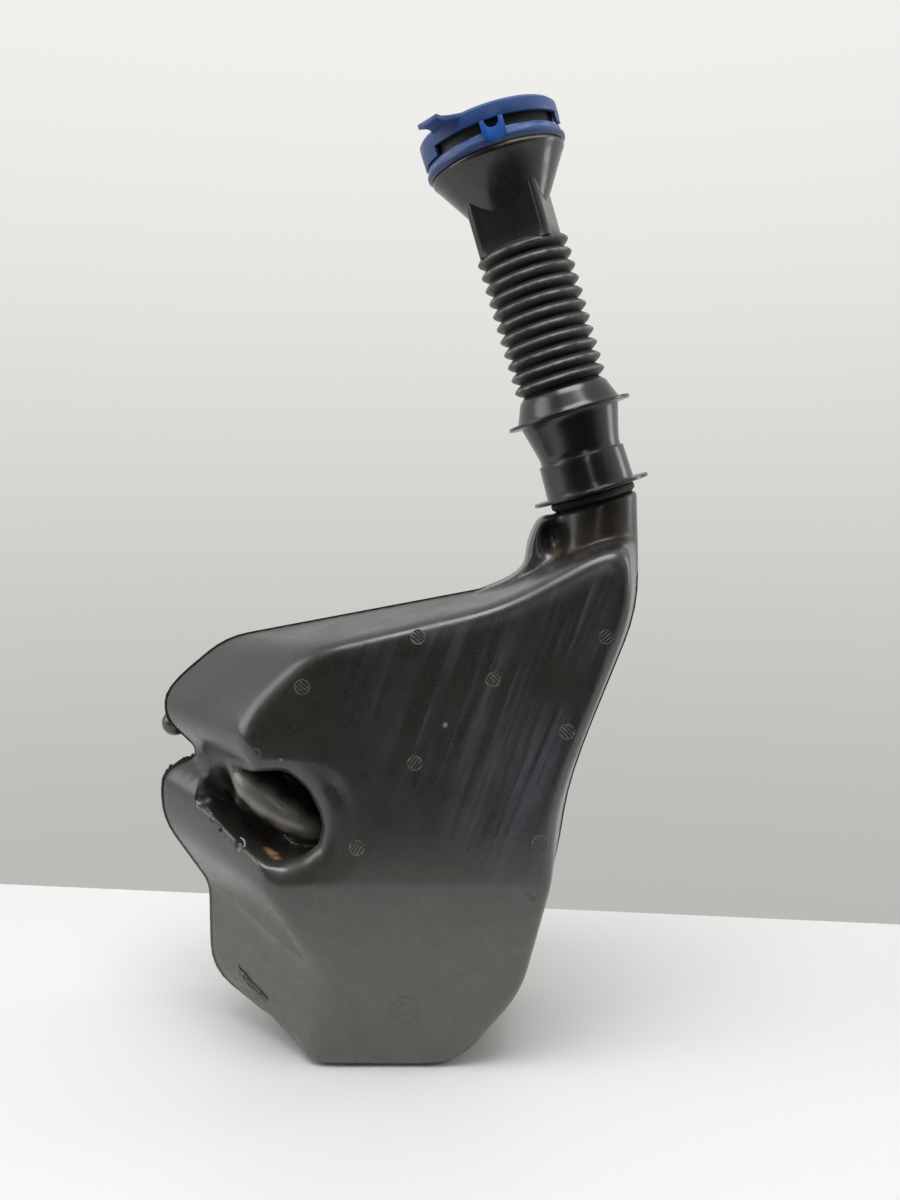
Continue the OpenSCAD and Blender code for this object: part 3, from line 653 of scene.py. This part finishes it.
def deepen_trough(bm):
    """Sinks the floor of the pocket beside the upper end of the ridge."""
    (middle_x, middle_z), (half_x, half_z) = TROUGH_MIDDLE, TROUGH_HALF
    for v in bm.verts:
        x, y, z = v.co / MM
        share = math.hypot((x - middle_x) / half_x, (z - middle_z) / half_z)
        if share < 1 and TROUGH_MOUTH < y < TROUGH_FLOOR:
            v.co.y += fade(share) * (TROUGH_FLOOR - y) * MM


def smooth(bm, verts, rounds):
    for _ in range(rounds):
        bmesh.ops.smooth_vert(
            bm, verts=verts, factor=0.5, use_axis_x=True, use_axis_y=True, use_axis_z=True
        )


def soften_places(bm):
    """Smooths the skin along the mould seam and at the softer places."""
    seam = [v for v in bm.verts if abs(v.co.y) < SEAM_BAND * MM and v.co.z < SEAM_TOP * MM]
    smooth(bm, seam, SEAM_ROUNDS)
    for line, radius, rounds in SOFT_PLACES:
        reach = radius * MM
        points = [p * MM for p in line_points(line, SOFT_STEP)]
        low = [min(p[k] for p in points) - reach for k in range(3)]
        high = [max(p[k] for p in points) + reach for k in range(3)]
        boxed = [v for v in bm.verts if all(low[k] < v.co[k] < high[k] for k in range(3))]
        close = [v for v in boxed if min((v.co - p).length for p in points) < reach]
        smooth(bm, close, rounds)


def make_tank_skin():
    """The tank's skin, evened out and softened as a blown wall is."""
    bm = merged_copy("tank")
    bmesh.ops.scale(bm, vec=(1, FRONT_KEEP, 1), verts=[v for v in bm.verts if v.co.y < 0])
    bmesh.ops.create_uvsphere(bm, u_segments=48, v_segments=24, radius=1, matrix=ridge_frame())
    add_pocket_lip(bm)
    obj = raw_object("tank_skin", bm)
    even = obj.modifiers.new("even", "REMESH")
    even.mode = "VOXEL"
    even.voxel_size = TANK_VOXEL * MM
    apply_modifiers(obj)
    bm = bmesh.new()
    bm.from_mesh(obj.data)
    deepen_trough(bm)
    soften_places(bm)
    bm.to_mesh(obj.data)
    bm.free()
    soften = obj.modifiers.new("soften", "SMOOTH")
    soften.factor = 0.5
    soften.iterations = TANK_SOFTEN
    thin = obj.modifiers.new("thin", "DECIMATE")
    thin.ratio = TANK_KEEP
    apply_modifiers(obj)
    shade(obj, angle=60)
    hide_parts("tank")
    dress(obj, "reservoir", TANK)
    return obj


def skin_tree(obj):
    """The skin as a search tree, to lay small marks on it."""
    bm = bmesh.new()
    bm.from_mesh(obj.data)
    tree = BVHTree.FromBMesh(bm)
    bm.free()
    return tree


def finish_mark(name, bm, material, angle, wall=None):
    """Makes a mark on the tank from a bmesh; wall is a sheet's thickness and offset."""
    bmesh.ops.recalc_face_normals(bm, faces=bm.faces)
    obj = raw_object(name, bm)
    if wall:
        add_wall(obj, *wall)
    shade(obj, angle)
    dress(obj, "reservoir", material)


def ragged(place, waves):
    """Sum of noises at a place, from the height and fineness of each."""
    return sum(height * noise.noise(place * fine) for height, fine in waves)


# Flash along the mould seam: half width of its crest, and depth
SEAM_CREST = 0.36
SEAM_DEEP = 1.6


def seam_crest(keep):
    """The crest of the seam's flash, where keep says so of a face's middle in millimetres."""
    bm = merged_copy("tank")
    others = [
        f for f in bm.faces
        if any(abs(v.co.y) > SEAM_CREST * MM for v in f.verts)
        or not keep(f.calc_center_median() / MM)
    ]
    bmesh.ops.delete(bm, geom=others, context="FACES")
    return bm


def make_seam_flash():
    """The thin flash left where the two halves of the mould met."""
    obj = raw_object("seam_flash", seam_crest(lambda p: True))
    add_wall(obj, SEAM_DEEP, -1)
    shade(obj, angle=40)
    dress(obj, "reservoir", TANK)


# Torn flash on top of the lower lobe: where it runs, how far it stands up, least share of that,
# height and fineness of its waves, and share of its width that the torn edge keeps
TEAR_X = (-97, -82)
TEAR_Z = (112, 124)
TEAR_RISE = 1.5
TEAR_LEVEL = 0.35
TEAR_WAVES = [(1.0, 0.55), (0.6, 1.7)]
TEAR_TAPER = 0.7


def make_torn_flash():
    """Ragged flash on the lower lobe, torn off unevenly."""
    bm = seam_crest(lambda p: TEAR_X[0] < p.x < TEAR_X[1] and TEAR_Z[0] < p.z < TEAR_Z[1])
    bmesh.ops.subdivide_edges(bm, edges=bm.edges[:], cuts=3, use_grid_fill=True)
    raised = bmesh.ops.extrude_face_region(bm, geom=bm.faces[:], use_keep_orig=True)
    for v in new_verts(raised):
        v.co.z += TEAR_RISE * max(0.0, TEAR_LEVEL + ragged(v.co / MM, TEAR_WAVES)) * MM
        v.co.y *= TEAR_TAPER
    finish_mark("torn_flash", bm, TANK, angle=30)


def face_place(x, z):
    """A frame on the front face: X across, Y up the face, Z out of it."""
    lean = LOWER_LEAN if z < CREASE_Z else 0.0
    y = (FACE_Y + max(0.0, CREASE_Z - z) * math.tan(LOWER_LEAN)) * FRONT_KEEP
    return Matrix.Translation(Vector((x, y, z)) * MM) @ Matrix.Rotation(math.pi / 2 + lean, 4, "X")


# Where lines from the front start when they look for the skin
FRONT_Y = -80


def skin_place(tree, x, z, turn=0.0):
    """A frame where a line from the front meets the skin: Z out of it, turned in degrees."""
    spot, normal, _, _ = tree.ray_cast(Vector((x, FRONT_Y, z)) * MM, Vector((0, 1, 0)))
    stand = Matrix.Translation(spot) @ normal.to_track_quat("Z", "Y").to_matrix().to_4x4()
    return stand @ Matrix.Rotation(math.radians(turn), 4, "Z")


# How deep raised marks are set into the face
MARK_SINK = 0.5


def add_bar(bm, place, middle, size, rise):
    """A low bar on the face: its middle and size across and up the place, and its rise."""
    stretch = Matrix.Diagonal((size[0] * MM, size[1] * MM, (rise + MARK_SINK) * MM, 1))
    sit = Matrix.Translation(Vector((*middle, (rise - MARK_SINK) / 2)) * MM)
    bmesh.ops.create_cube(bm, size=1, matrix=place @ sit @ stretch)


def ring_profile(radius, half, rise):
    """Low rounded ring: radius and height of its section."""
    return [
        (radius - half, -MARK_SINK),
        (radius + half, -MARK_SINK),
        (radius + half, rise * 0.5),
        (radius + half * 0.5, rise),
        (radius - half * 0.5, rise),
        (radius - half, rise * 0.5),
    ]


# Mould vents: across, up, radius and turn of their hatching
VENTS = [
    (-28.9, 162.5, 2.9, -38),
    (15.8, 181.9, 2.8, -40),
    (44.5, 165.3, 2.7, -42),
    (73.2, 145.0, 2.9, -45),
    (14.4, 132.7, 2.8, 52),
    (63.1, 100.9, 3.1, -40),
    (-8.3, 98.9, 2.9, 58),
    (87.7, 181.9, 2.6, 40),
    (-47.0, 136.5, 1.8, -30),
    (59.4, 79.0, 2.3, 35),
]

# Their hatching: width, pitch, rise and ease of its bars; their rims: half width and rise
VENT_BAR = 0.48
VENT_PITCH = 1.2
VENT_RISE = 0.16
VENT_EASE = 0.12
VENT_RIM_HALF = 0.2
VENT_RIM_RISE = 0.1


def make_vent_marks(tree):
    """Hatched round marks that the mould's vents left on the front face."""
    bm = bmesh.new()
    for x, z, radius, turn in VENTS:
        place = skin_place(tree, x, z, turn)
        count = int(radius / VENT_PITCH)
        for k in range(-count, count + 1):
            off = k * VENT_PITCH
            half = math.sqrt(radius * radius - off * off) - VENT_RIM_HALF
            if half >= VENT_BAR:
                add_bar(bm, place, (0, off), (2 * half, VENT_BAR), VENT_RISE)
    bmesh.ops.bevel(
        bm, geom=bm.edges[:], offset=VENT_EASE * MM, segments=2, profile=0.5, affect="EDGES",
        material=-1,
    )
    for x, z, radius, _ in VENTS:
        profile = ring_profile(radius, VENT_RIM_HALF, VENT_RIM_RISE)
        turn_profile(bm, profile, skin_place(tree, x, z), steps=40)
    finish_mark("vent_marks", bm, PALE_MARK, angle=40)


# Round insert mark low on the front face: across, up, radii of its rings, half width and rise of
# these, then number, length, width, rise and inset of the ticks between them
INSERT_PLACE = (9.7, 27.8)
INSERT_RINGS = (6.2, 2.6)
INSERT_HALF = 0.22
INSERT_RISE = 0.14
TICKS = 12
TICK_SIZE = (1.5, 0.35)
TICK_RISE = 0.12
TICK_INSET = 1.4


def make_insert_mark():
    """Faint round mark of a mould insert, with plain ticks."""
    bm = bmesh.new()
    place = face_place(*INSERT_PLACE)
    for k in range(TICKS):
        spin = Matrix.Rotation(math.tau * k / TICKS, 4, "Z")
        add_bar(bm, place @ spin, (INSERT_RINGS[0] - TICK_INSET, 0), TICK_SIZE, TICK_RISE)
    for radius in INSERT_RINGS:
        turn_profile(bm, ring_profile(radius, INSERT_HALF, INSERT_RISE), place, steps=64)
    finish_mark("insert_mark", bm, TANK, angle=40)


# Pinch-off scar on the lower left chamfer: its two ends, width, how far it wanders, and its rise;
# its level and waves with the height, fineness along and across, and layer of each; how deep its
# edge is set in, and its wall
SCAR_ENDS = (Vector((-64.5, -9.3, 32.2)), Vector((-51.0, -14.9, 20.0)))
SCAR_WIDTH = 3.2
SCAR_WANDER = 0.8
SCAR_RISE = 1.4
SCAR_LEVEL = 0.45
SCAR_WAVES = [(0.9, 16, 5, 1.7), (0.5, 40, 9, 5)]
SCAR_SINK = 0.15
SCAR_WALL = 0.6


def make_pinch_scar(tree):
    """Rough ridge where the end of the blown tube was pinched off."""
    start, end = (p * MM for p in SCAR_ENDS)
    along = end - start
    middle = (start + end) / 2
    normal = tree.find_nearest(middle)[1]
    across = normal.cross(along).normalized()
    bm = bmesh.new()
    bmesh.ops.create_grid(bm, x_segments=46, y_segments=10, size=0.5)
    for v in bm.verts:
        u, w = v.co.x, v.co.y
        wander = SCAR_WANDER * MM * noise.noise(Vector((u * 7, 3.1, 0.4)))
        at = middle + along * u + across * (w * SCAR_WIDTH * MM + wander)
        spot, out, _, _ = tree.find_nearest(at)
        crown = max(0.0, 1 - (2 * w) ** 2) * max(0.0, 1 - (2 * u) ** 4)
        rough = SCAR_LEVEL
        for height, fine_u, fine_w, layer in SCAR_WAVES:
            rough += height * noise.noise(Vector((u * fine_u, w * fine_w, layer)))
        v.co = spot + out * (SCAR_RISE * MM * crown * max(0.0, rough) - SCAR_SINK * MM)
    finish_mark("pinch_scar", bm, TANK, angle=50, wall=(SCAR_WALL, -1))


# Torn edges by the pocket: centre, way that the hole faces, radius, start and sweep of the bright
# edge; radius of its section and points round that
# The bright edges are painted highlight, a pale sweep on one side of each hole
TORN_EDGES = [
    (Vector((-57.0, -38.2, 96.6)), Vector((0.1, -0.93, 0.36)), 2.75, -25, 100),
    (Vector((-76.6, -18.2, 108.3)), Vector((0.2, -0.8, 0.55)), 1.2, -200, 120),
]
TORN_THICK = 0.34
TORN_POINTS = 8


def make_torn_edges():
    """Edges of the two holes torn in the pocket's rim, pale with painted highlight."""
    bm = bmesh.new()
    angles = [math.tau * k / TORN_POINTS for k in range(TORN_POINTS)]
    for centre, way, radius, start, sweep in TORN_EDGES:
        place = Matrix.Translation(centre * MM) @ way.to_track_quat("Z", "Y").to_matrix().to_4x4()
        section = [
            (radius + TORN_THICK * math.cos(a), TORN_THICK * math.sin(a)) for a in angles
        ]
        turn_profile(bm, section, place @ bearing(start), steps=20, sweep=math.radians(sweep))
    finish_mark("torn_edges", bm, TORN_EDGE_HIGHLIGHT, angle=60)


# Torn rim between the cheek and the pocket: its line and the step along it, the way it stands, how
# deep it is set in, and its wall
RIM_LINE = [
    (-77.4, -16.3, 109.0), (-68.4, -25.5, 101.3), (-58.4, -38.3, 94.9), (-50.4, -45.3, 90.0),
]
RIM_STEP = 0.6
RIM_WAY = Vector((-0.1, -0.74, 0.66)).normalized()
RIM_DEEP = 1.6
RIM_WALL = 1.3

# Its edge: level, lowest place, height and fineness of its waves, then its tabs and gaps with the
# place across, height and half width of each
RIM_LEVEL = 0.15
RIM_LOWEST = -0.6
RIM_WAVES = [(0.45, 0.5), (0.3, 1.6)]
RIM_TABS = [
    (-67.5, 1.5, 2.8), (-72.5, 0.6, 1.8), (-58.0, -1.4, 3.2), (-76.5, -1.4, 2.4),
    (-52.5, -0.8, 3.5),
]


def make_torn_rim(tree):
    """Ragged edge of the cheek, torn and stretched along the pocket."""
    bm = bmesh.new()
    feet = [
        bm.verts.new(tree.find_nearest(point * MM)[0] - RIM_WAY * RIM_DEEP * MM)
        for point in line_points(RIM_LINE, RIM_STEP)
    ]
    edges = [bm.edges.new(pair) for pair in zip(feet, feet[1:])]
    raised = bmesh.ops.extrude_edge_only(bm, edges=edges)
    for v in new_verts(raised):
        place = v.co / MM
        rise = RIM_LEVEL + ragged(place, RIM_WAVES)
        for across, height, half in RIM_TABS:
            rise += height * fade(abs(place.x - across) / half)
        v.co += RIM_WAY * (RIM_DEEP + max(RIM_LOWEST, rise)) * MM
    finish_mark("torn_rim", bm, TANK, angle=50, wall=(RIM_WALL, 0))


# Filler neck: radii, and heights along the neck

NECK_STEPS = 128
FOLDS = 11
FOLD_PITCH = 5.46
FOLD_TIP = 19.4
FOLD_ROOT = 16.0
FOLD_POINTS = 12
FOLD_ROUND = 1.5
BELLOWS_S = 49.8
BELLOWS_END = BELLOWS_S + FOLDS * FOLD_PITCH
TUBE_END = BELLOWS_END + 13.2
FUNNEL_RISE = 19.0
FUNNEL_END = TUBE_END + FUNNEL_RISE
BEAD_END = FUNNEL_END + 2.2
MOUTH_END = BEAD_END + 13.3
TAIL_S = 33.5
TAIL = (14.1, 15.6)
FUNNEL = 27.4
MOUTH = (24.8, 26.3)
MOUTH_EASE = 0.4

# Square tube between the bellows and the funnel: half width, corner radius, bearing, foot, cuts
# across each flat side, wall, and how far its top laps into the funnel
TUBE_HALF = 15.3
TUBE_CORNER = 3.4
TUBE_TURN = -18
TUBE_FOOT = BELLOWS_END - 0.35 * FOLD_PITCH
TUBE_CUTS = 14
TUBE_WALL = 0.9
TUBE_LAP = 0.5

# Round core behind the square tube
CORE = 15.0
FUNNEL_SLOPE = FUNNEL_RISE / (FUNNEL - TUBE_HALF)
CORE_END = TUBE_END - (TUBE_HALF - CORE) * FUNNEL_SLOPE

# Bead round the top of the funnel: radius and height from the funnel's edge
FUNNEL_BEAD = [(0.42, 0.45), (0.58, 1.1), (0.42, 1.75)]

# Inside of one fold, from its top: radius, and share of the pitch
FOLD_INSIDE = [(TAIL[0], 0.94), (FOLD_TIP - 2, 0.5), (TAIL[0], 0.06)]


def fold_outside(start):
    """Radius and height along one rounded fold."""
    points = []
    for k in range(FOLD_POINTS):
        t = k / FOLD_POINTS
        rise = 1 - abs(2 * t - 1) ** FOLD_ROUND
        points.append((FOLD_ROOT + (FOLD_TIP - FOLD_ROOT) * rise, start + t * FOLD_PITCH))
    return points


def make_filler_neck():
    """Bellows, core of the tube, funnel and mouth, turned as one wall."""
    starts = [BELLOWS_S + i * FOLD_PITCH for i in range(FOLDS)]
    profile = [(TAIL[0], TAIL_S), (TAIL[1], TAIL_S), (TAIL[1], BELLOWS_S - 0.2)]
    for start in starts:
        profile += fold_outside(start)
    profile += [
        (FOLD_ROOT, BELLOWS_END),
        (CORE, BELLOWS_END + 0.4),
        (CORE, CORE_END),
        (FUNNEL - 0.6, FUNNEL_END - 0.6 * FUNNEL_SLOPE),
        (FUNNEL, FUNNEL_END - 0.2),
        *((FUNNEL + r, FUNNEL_END + s) for r, s in FUNNEL_BEAD),
        (FUNNEL, BEAD_END),
        (MOUTH[1], BEAD_END),
        (MOUTH[1], MOUTH_END - MOUTH_EASE),
        (MOUTH[1] - MOUTH_EASE, MOUTH_END),
        (MOUTH[0] + MOUTH_EASE, MOUTH_END),
        (MOUTH[0], MOUTH_END - MOUTH_EASE),
        (MOUTH[0], FUNNEL_END),
        (TAIL[0], TUBE_END),
    ]
    for start in reversed(starts):
        profile += [(r, start + share * FOLD_PITCH) for r, share in FOLD_INSIDE]
    bm = bmesh.new()
    turn_profile(bm, profile, NECK, NECK_STEPS)
    obj = raw_object("filler_neck_wall", bm)
    shade(obj, angle=50)
    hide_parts("filler_neck")
    dress(obj, "reservoir", BELLOWS)


def is_level(edge):
    """Whether both ends of an edge are at one height, within a tenth of a millimetre."""
    return abs(edge.verts[0].co.z - edge.verts[1].co.z) < 0.1 * MM


def make_square_tube():
    """Square tube with soft corners; its top runs out into the funnel."""
    bm = bmesh.new()
    middle = (TUBE_FOOT + TUBE_END) / 2 * MM
    width = 2 * TUBE_HALF * MM
    size = Matrix.Diagonal((width, width, (TUBE_END - TUBE_FOOT) * MM, 1))
    bmesh.ops.create_cube(bm, size=1, matrix=Matrix.Translation((0, 0, middle)) @ size)
    upright = [e for e in bm.edges if not is_level(e)]
    bmesh.ops.bevel(
        bm, geom=upright, offset=TUBE_CORNER * MM, segments=10, profile=0.5, affect="EDGES",
        material=-1,
    )
    lids = [f for f in bm.faces if abs(f.normal.z) > 0.9]
    bmesh.ops.delete(bm, geom=lids, context="FACES_ONLY")
    flats = [e for e in bm.edges if is_level(e) and e.calc_length() > TUBE_HALF * MM]
    bmesh.ops.subdivide_edges(bm, edges=flats, cuts=TUBE_CUTS, use_grid_fill=True)
    bmesh.ops.recalc_face_normals(bm, faces=bm.faces)
    for v in bm.verts:
        if v.co.z > middle:
            out = math.hypot(v.co.x, v.co.y) / MM
            v.co.z = (CORE_END + (out - CORE) * FUNNEL_SLOPE + TUBE_LAP) * MM
    bmesh.ops.transform(bm, matrix=NECK @ bearing(TUBE_TURN), verts=bm.verts)
    obj = raw_object("square_tube", bm)
    add_wall(obj, TUBE_WALL, -1)
    shade(obj, angle=40)
    dress(obj, "reservoir", BELLOWS)


# Strip hinge between the ring's post and the lid: radius, height and bearing of its fold; its size;
# radius and height of its two ends
HINGE_R = 30.2
HINGE_S = 158.86
HINGE_TURN = 50
STRIP_WIDTH = 12.0
STRIP_THICK = 0.4
STRIP_CUTS = 9
STRIP_ENDS = [(HINGE_R, HINGE_S - 1.6), (HINGE_R - 1.6, HINGE_S + 0.5)]


def make_hinge_strip():
    """Thin strip that joins the lid to the ring."""
    bm = bmesh.new()
    ends = [bm.verts.new((r * MM, -STRIP_WIDTH / 2 * MM, s * MM)) for r, s in STRIP_ENDS]
    edge = bm.edges.new(ends)
    bmesh.ops.subdivide_edges(bm, edges=[edge], cuts=STRIP_CUTS)
    across = bmesh.ops.extrude_edge_only(bm, edges=bm.edges[:])
    bmesh.ops.translate(bm, vec=(0, STRIP_WIDTH * MM, 0), verts=new_verts(across))
    bmesh.ops.recalc_face_normals(bm, faces=bm.faces)
    bmesh.ops.transform(bm, matrix=NECK @ bearing(HINGE_TURN), verts=bm.verts)
    obj = raw_object("hinge_strip", bm)
    add_wall(obj, STRIP_THICK, 0)
    shade(obj, angle=40)
    obj.data.materials.append(CAP)
    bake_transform(obj)


# Pieces that are eased copies: node, name, width of the ease, body, slot and material
EASED_PIECES = [
    ("neck_coupling", "coupling_body", 0.35, "reservoir", "coupling_black", COUPLING),
    ("neck_seal", "neck_ring", 0.3, "reservoir", "seal_rubber", RUBBER),
    ("cap_ring", "cap_collar", 0.3, "reservoir", "cap_blue", CAP),
    ("cap_lid", "cap_top", 0.4, "lid", "cap_blue", CAP),
    ("pump_grommet", "port_grommet", 0.3, "reservoir", "seal_rubber", RUBBER),
]


def make_pieces():
    """All pieces of the reservoir."""
    tree = skin_tree(make_tank_skin())
    make_seam_flash()
    make_torn_flash()
    make_vent_marks(tree)
    make_insert_mark()
    make_pinch_scar(tree)
    make_torn_edges()
    make_torn_rim(tree)
    make_filler_neck()
    make_square_tube()
    for node, name, width, body, slot, material in EASED_PIECES:
        dress(eased_copy(node, name, width), body, material)
    make_hinge_strip()


make_pieces()


# Stage, light and camera

# Table top: corners in metres, its back edge a little askew, then thickness, colour and roughness
TABLE = [(-1.2, -0.3), (1.2, -0.3), (1.2, 0.006), (-1.2, 0.292)]
TABLE_THICK = 0.03
TABLE_WHITE = (0.79, 0.785, 0.77, 1)
TABLE_ROUGH = 0.5


def make_table():
    """A pale table top."""
    bm = bmesh.new()
    top = bm.faces.new([bm.verts.new((x, y, 0)) for x, y in TABLE])
    bmesh.ops.recalc_face_normals(bm, faces=bm.faces)
    body = bmesh.ops.extrude_face_region(bm, geom=[top])
    bmesh.ops.translate(bm, vec=(0, 0, -TABLE_THICK), verts=new_verts(body))
    bmesh.ops.recalc_face_normals(bm, faces=bm.faces)
    obj = raw_object("table_top", bm)
    white = Nodes("table_white")
    white.shader.inputs["Base Color"].default_value = TABLE_WHITE
    white.shader.inputs["Roughness"].default_value = TABLE_ROUGH
    obj.data.materials.append(white.material)


# Room light and the wall that the camera sees: colour, then the way that the strength changes,
# from and to which share of it, and from and to which strength
ROOM_WHITE = (1, 0.99, 0.97, 1)
ROOM_RAMP = ((0, -0.95, -0.3), (0.1, 0.8), (0.72, 0.04))
WALL_WHITE = (1, 0.985, 0.95, 1)
WALL_RAMP = ((0, 0, 1), (-0.42, 0.5), (0.49, 0.9))


def make_world():
    """Soft white room light, dim from the front; the wall behind is pale, paler upwards."""
    world = bpy.data.worlds.new("room")
    SCENE.world = world
    world.use_nodes = True
    tree = world.node_tree
    tree.nodes.clear()
    links = tree.links
    place = tree.nodes.new("ShaderNodeTexCoord").outputs["Generated"]

    def backdrop(colour, way, shares, strengths):
        along = tree.nodes.new("ShaderNodeVectorMath")
        along.operation = "DOT_PRODUCT"
        along.inputs[1].default_value = way
        change = tree.nodes.new("ShaderNodeMapRange")
        change.interpolation_type = "SMOOTHSTEP"
        set_range(change, *shares, *strengths)
        light = tree.nodes.new("ShaderNodeBackground")
        light.inputs["Color"].default_value = colour
        links.new(place, along.inputs[0])
        links.new(along.outputs["Value"], change.inputs["Value"])
        links.new(change.outputs["Result"], light.inputs["Strength"])
        return light.outputs["Background"]

    path = tree.nodes.new("ShaderNodeLightPath")
    mix = tree.nodes.new("ShaderNodeMixShader")
    out = tree.nodes.new("ShaderNodeOutputWorld")
    links.new(path.outputs["Is Camera Ray"], mix.inputs["Fac"])
    links.new(backdrop(ROOM_WHITE, *ROOM_RAMP), mix.inputs[1])
    links.new(backdrop(WALL_WHITE, *WALL_RAMP), mix.inputs[2])
    links.new(mix.outputs["Shader"], out.inputs["Surface"])


# Lamps: name, place, point aimed at, size in metres, power and colour
LAMPS = [
    ("ceiling", (0.0, -0.42, 1.2), (0, 0, 0.1), (0.8, 0.5), 9, (0.92, 0.94, 1)),
    ("window", (-1.2, -0.25, 0.7), (0, 0, 0.15), (0.7, 0.9), 5, (0.96, 0.98, 1)),
    ("side", (1.2, 0.28, 0.5), (0.05, 0, 0.3), (0.3, 0.7), 2.4, (0.97, 0.98, 1)),
    ("strip", (0.16, -1.3, 0.62), (0.06, 0, 0.28), (0.06, 0.5), 0.8, (1, 1, 1)),
]


def area_lamp(name, place, aim, size, power, colour):
    """A rectangular lamp that faces a point."""
    lamp = bpy.data.lights.new(name, "AREA")
    lamp.shape = "RECTANGLE"
    lamp.size, lamp.size_y = size
    lamp.energy = power
    lamp.color = colour
    obj = bpy.data.objects.new(name, lamp)
    SCENE.collection.objects.link(obj)
    obj.location = place
    obj.rotation_euler = (Vector(aim) - Vector(place)).to_track_quat("-Z", "Y").to_euler()


# The image's height in pixels, and the camera that took it: focal length in pixels, place in
# millimetres, tilt in degrees
IMAGE_HEIGHT = 1200
FOCAL_PIXELS = 1078
CAMERA_PLACE = Vector((28, -459, 236)) * MM
CAMERA_TILT = 5.56


def make_camera():
    """The camera that sees the part as the photo does."""
    data = bpy.data.cameras.new("camera")
    data.sensor_fit = "VERTICAL"
    data.sensor_height = 24
    data.lens = FOCAL_PIXELS * data.sensor_height / IMAGE_HEIGHT
    data.clip_start = 0.01
    obj = bpy.data.objects.new("camera", data)
    SCENE.collection.objects.link(obj)
    obj.location = CAMERA_PLACE
    obj.rotation_euler = (math.radians(90 - CAMERA_TILT), 0, 0)
    SCENE.camera = obj


make_table()
make_world()
for lamp_settings in LAMPS:
    area_lamp(*lamp_settings)
make_camera()
SCENE.view_settings.view_transform = "Standard"
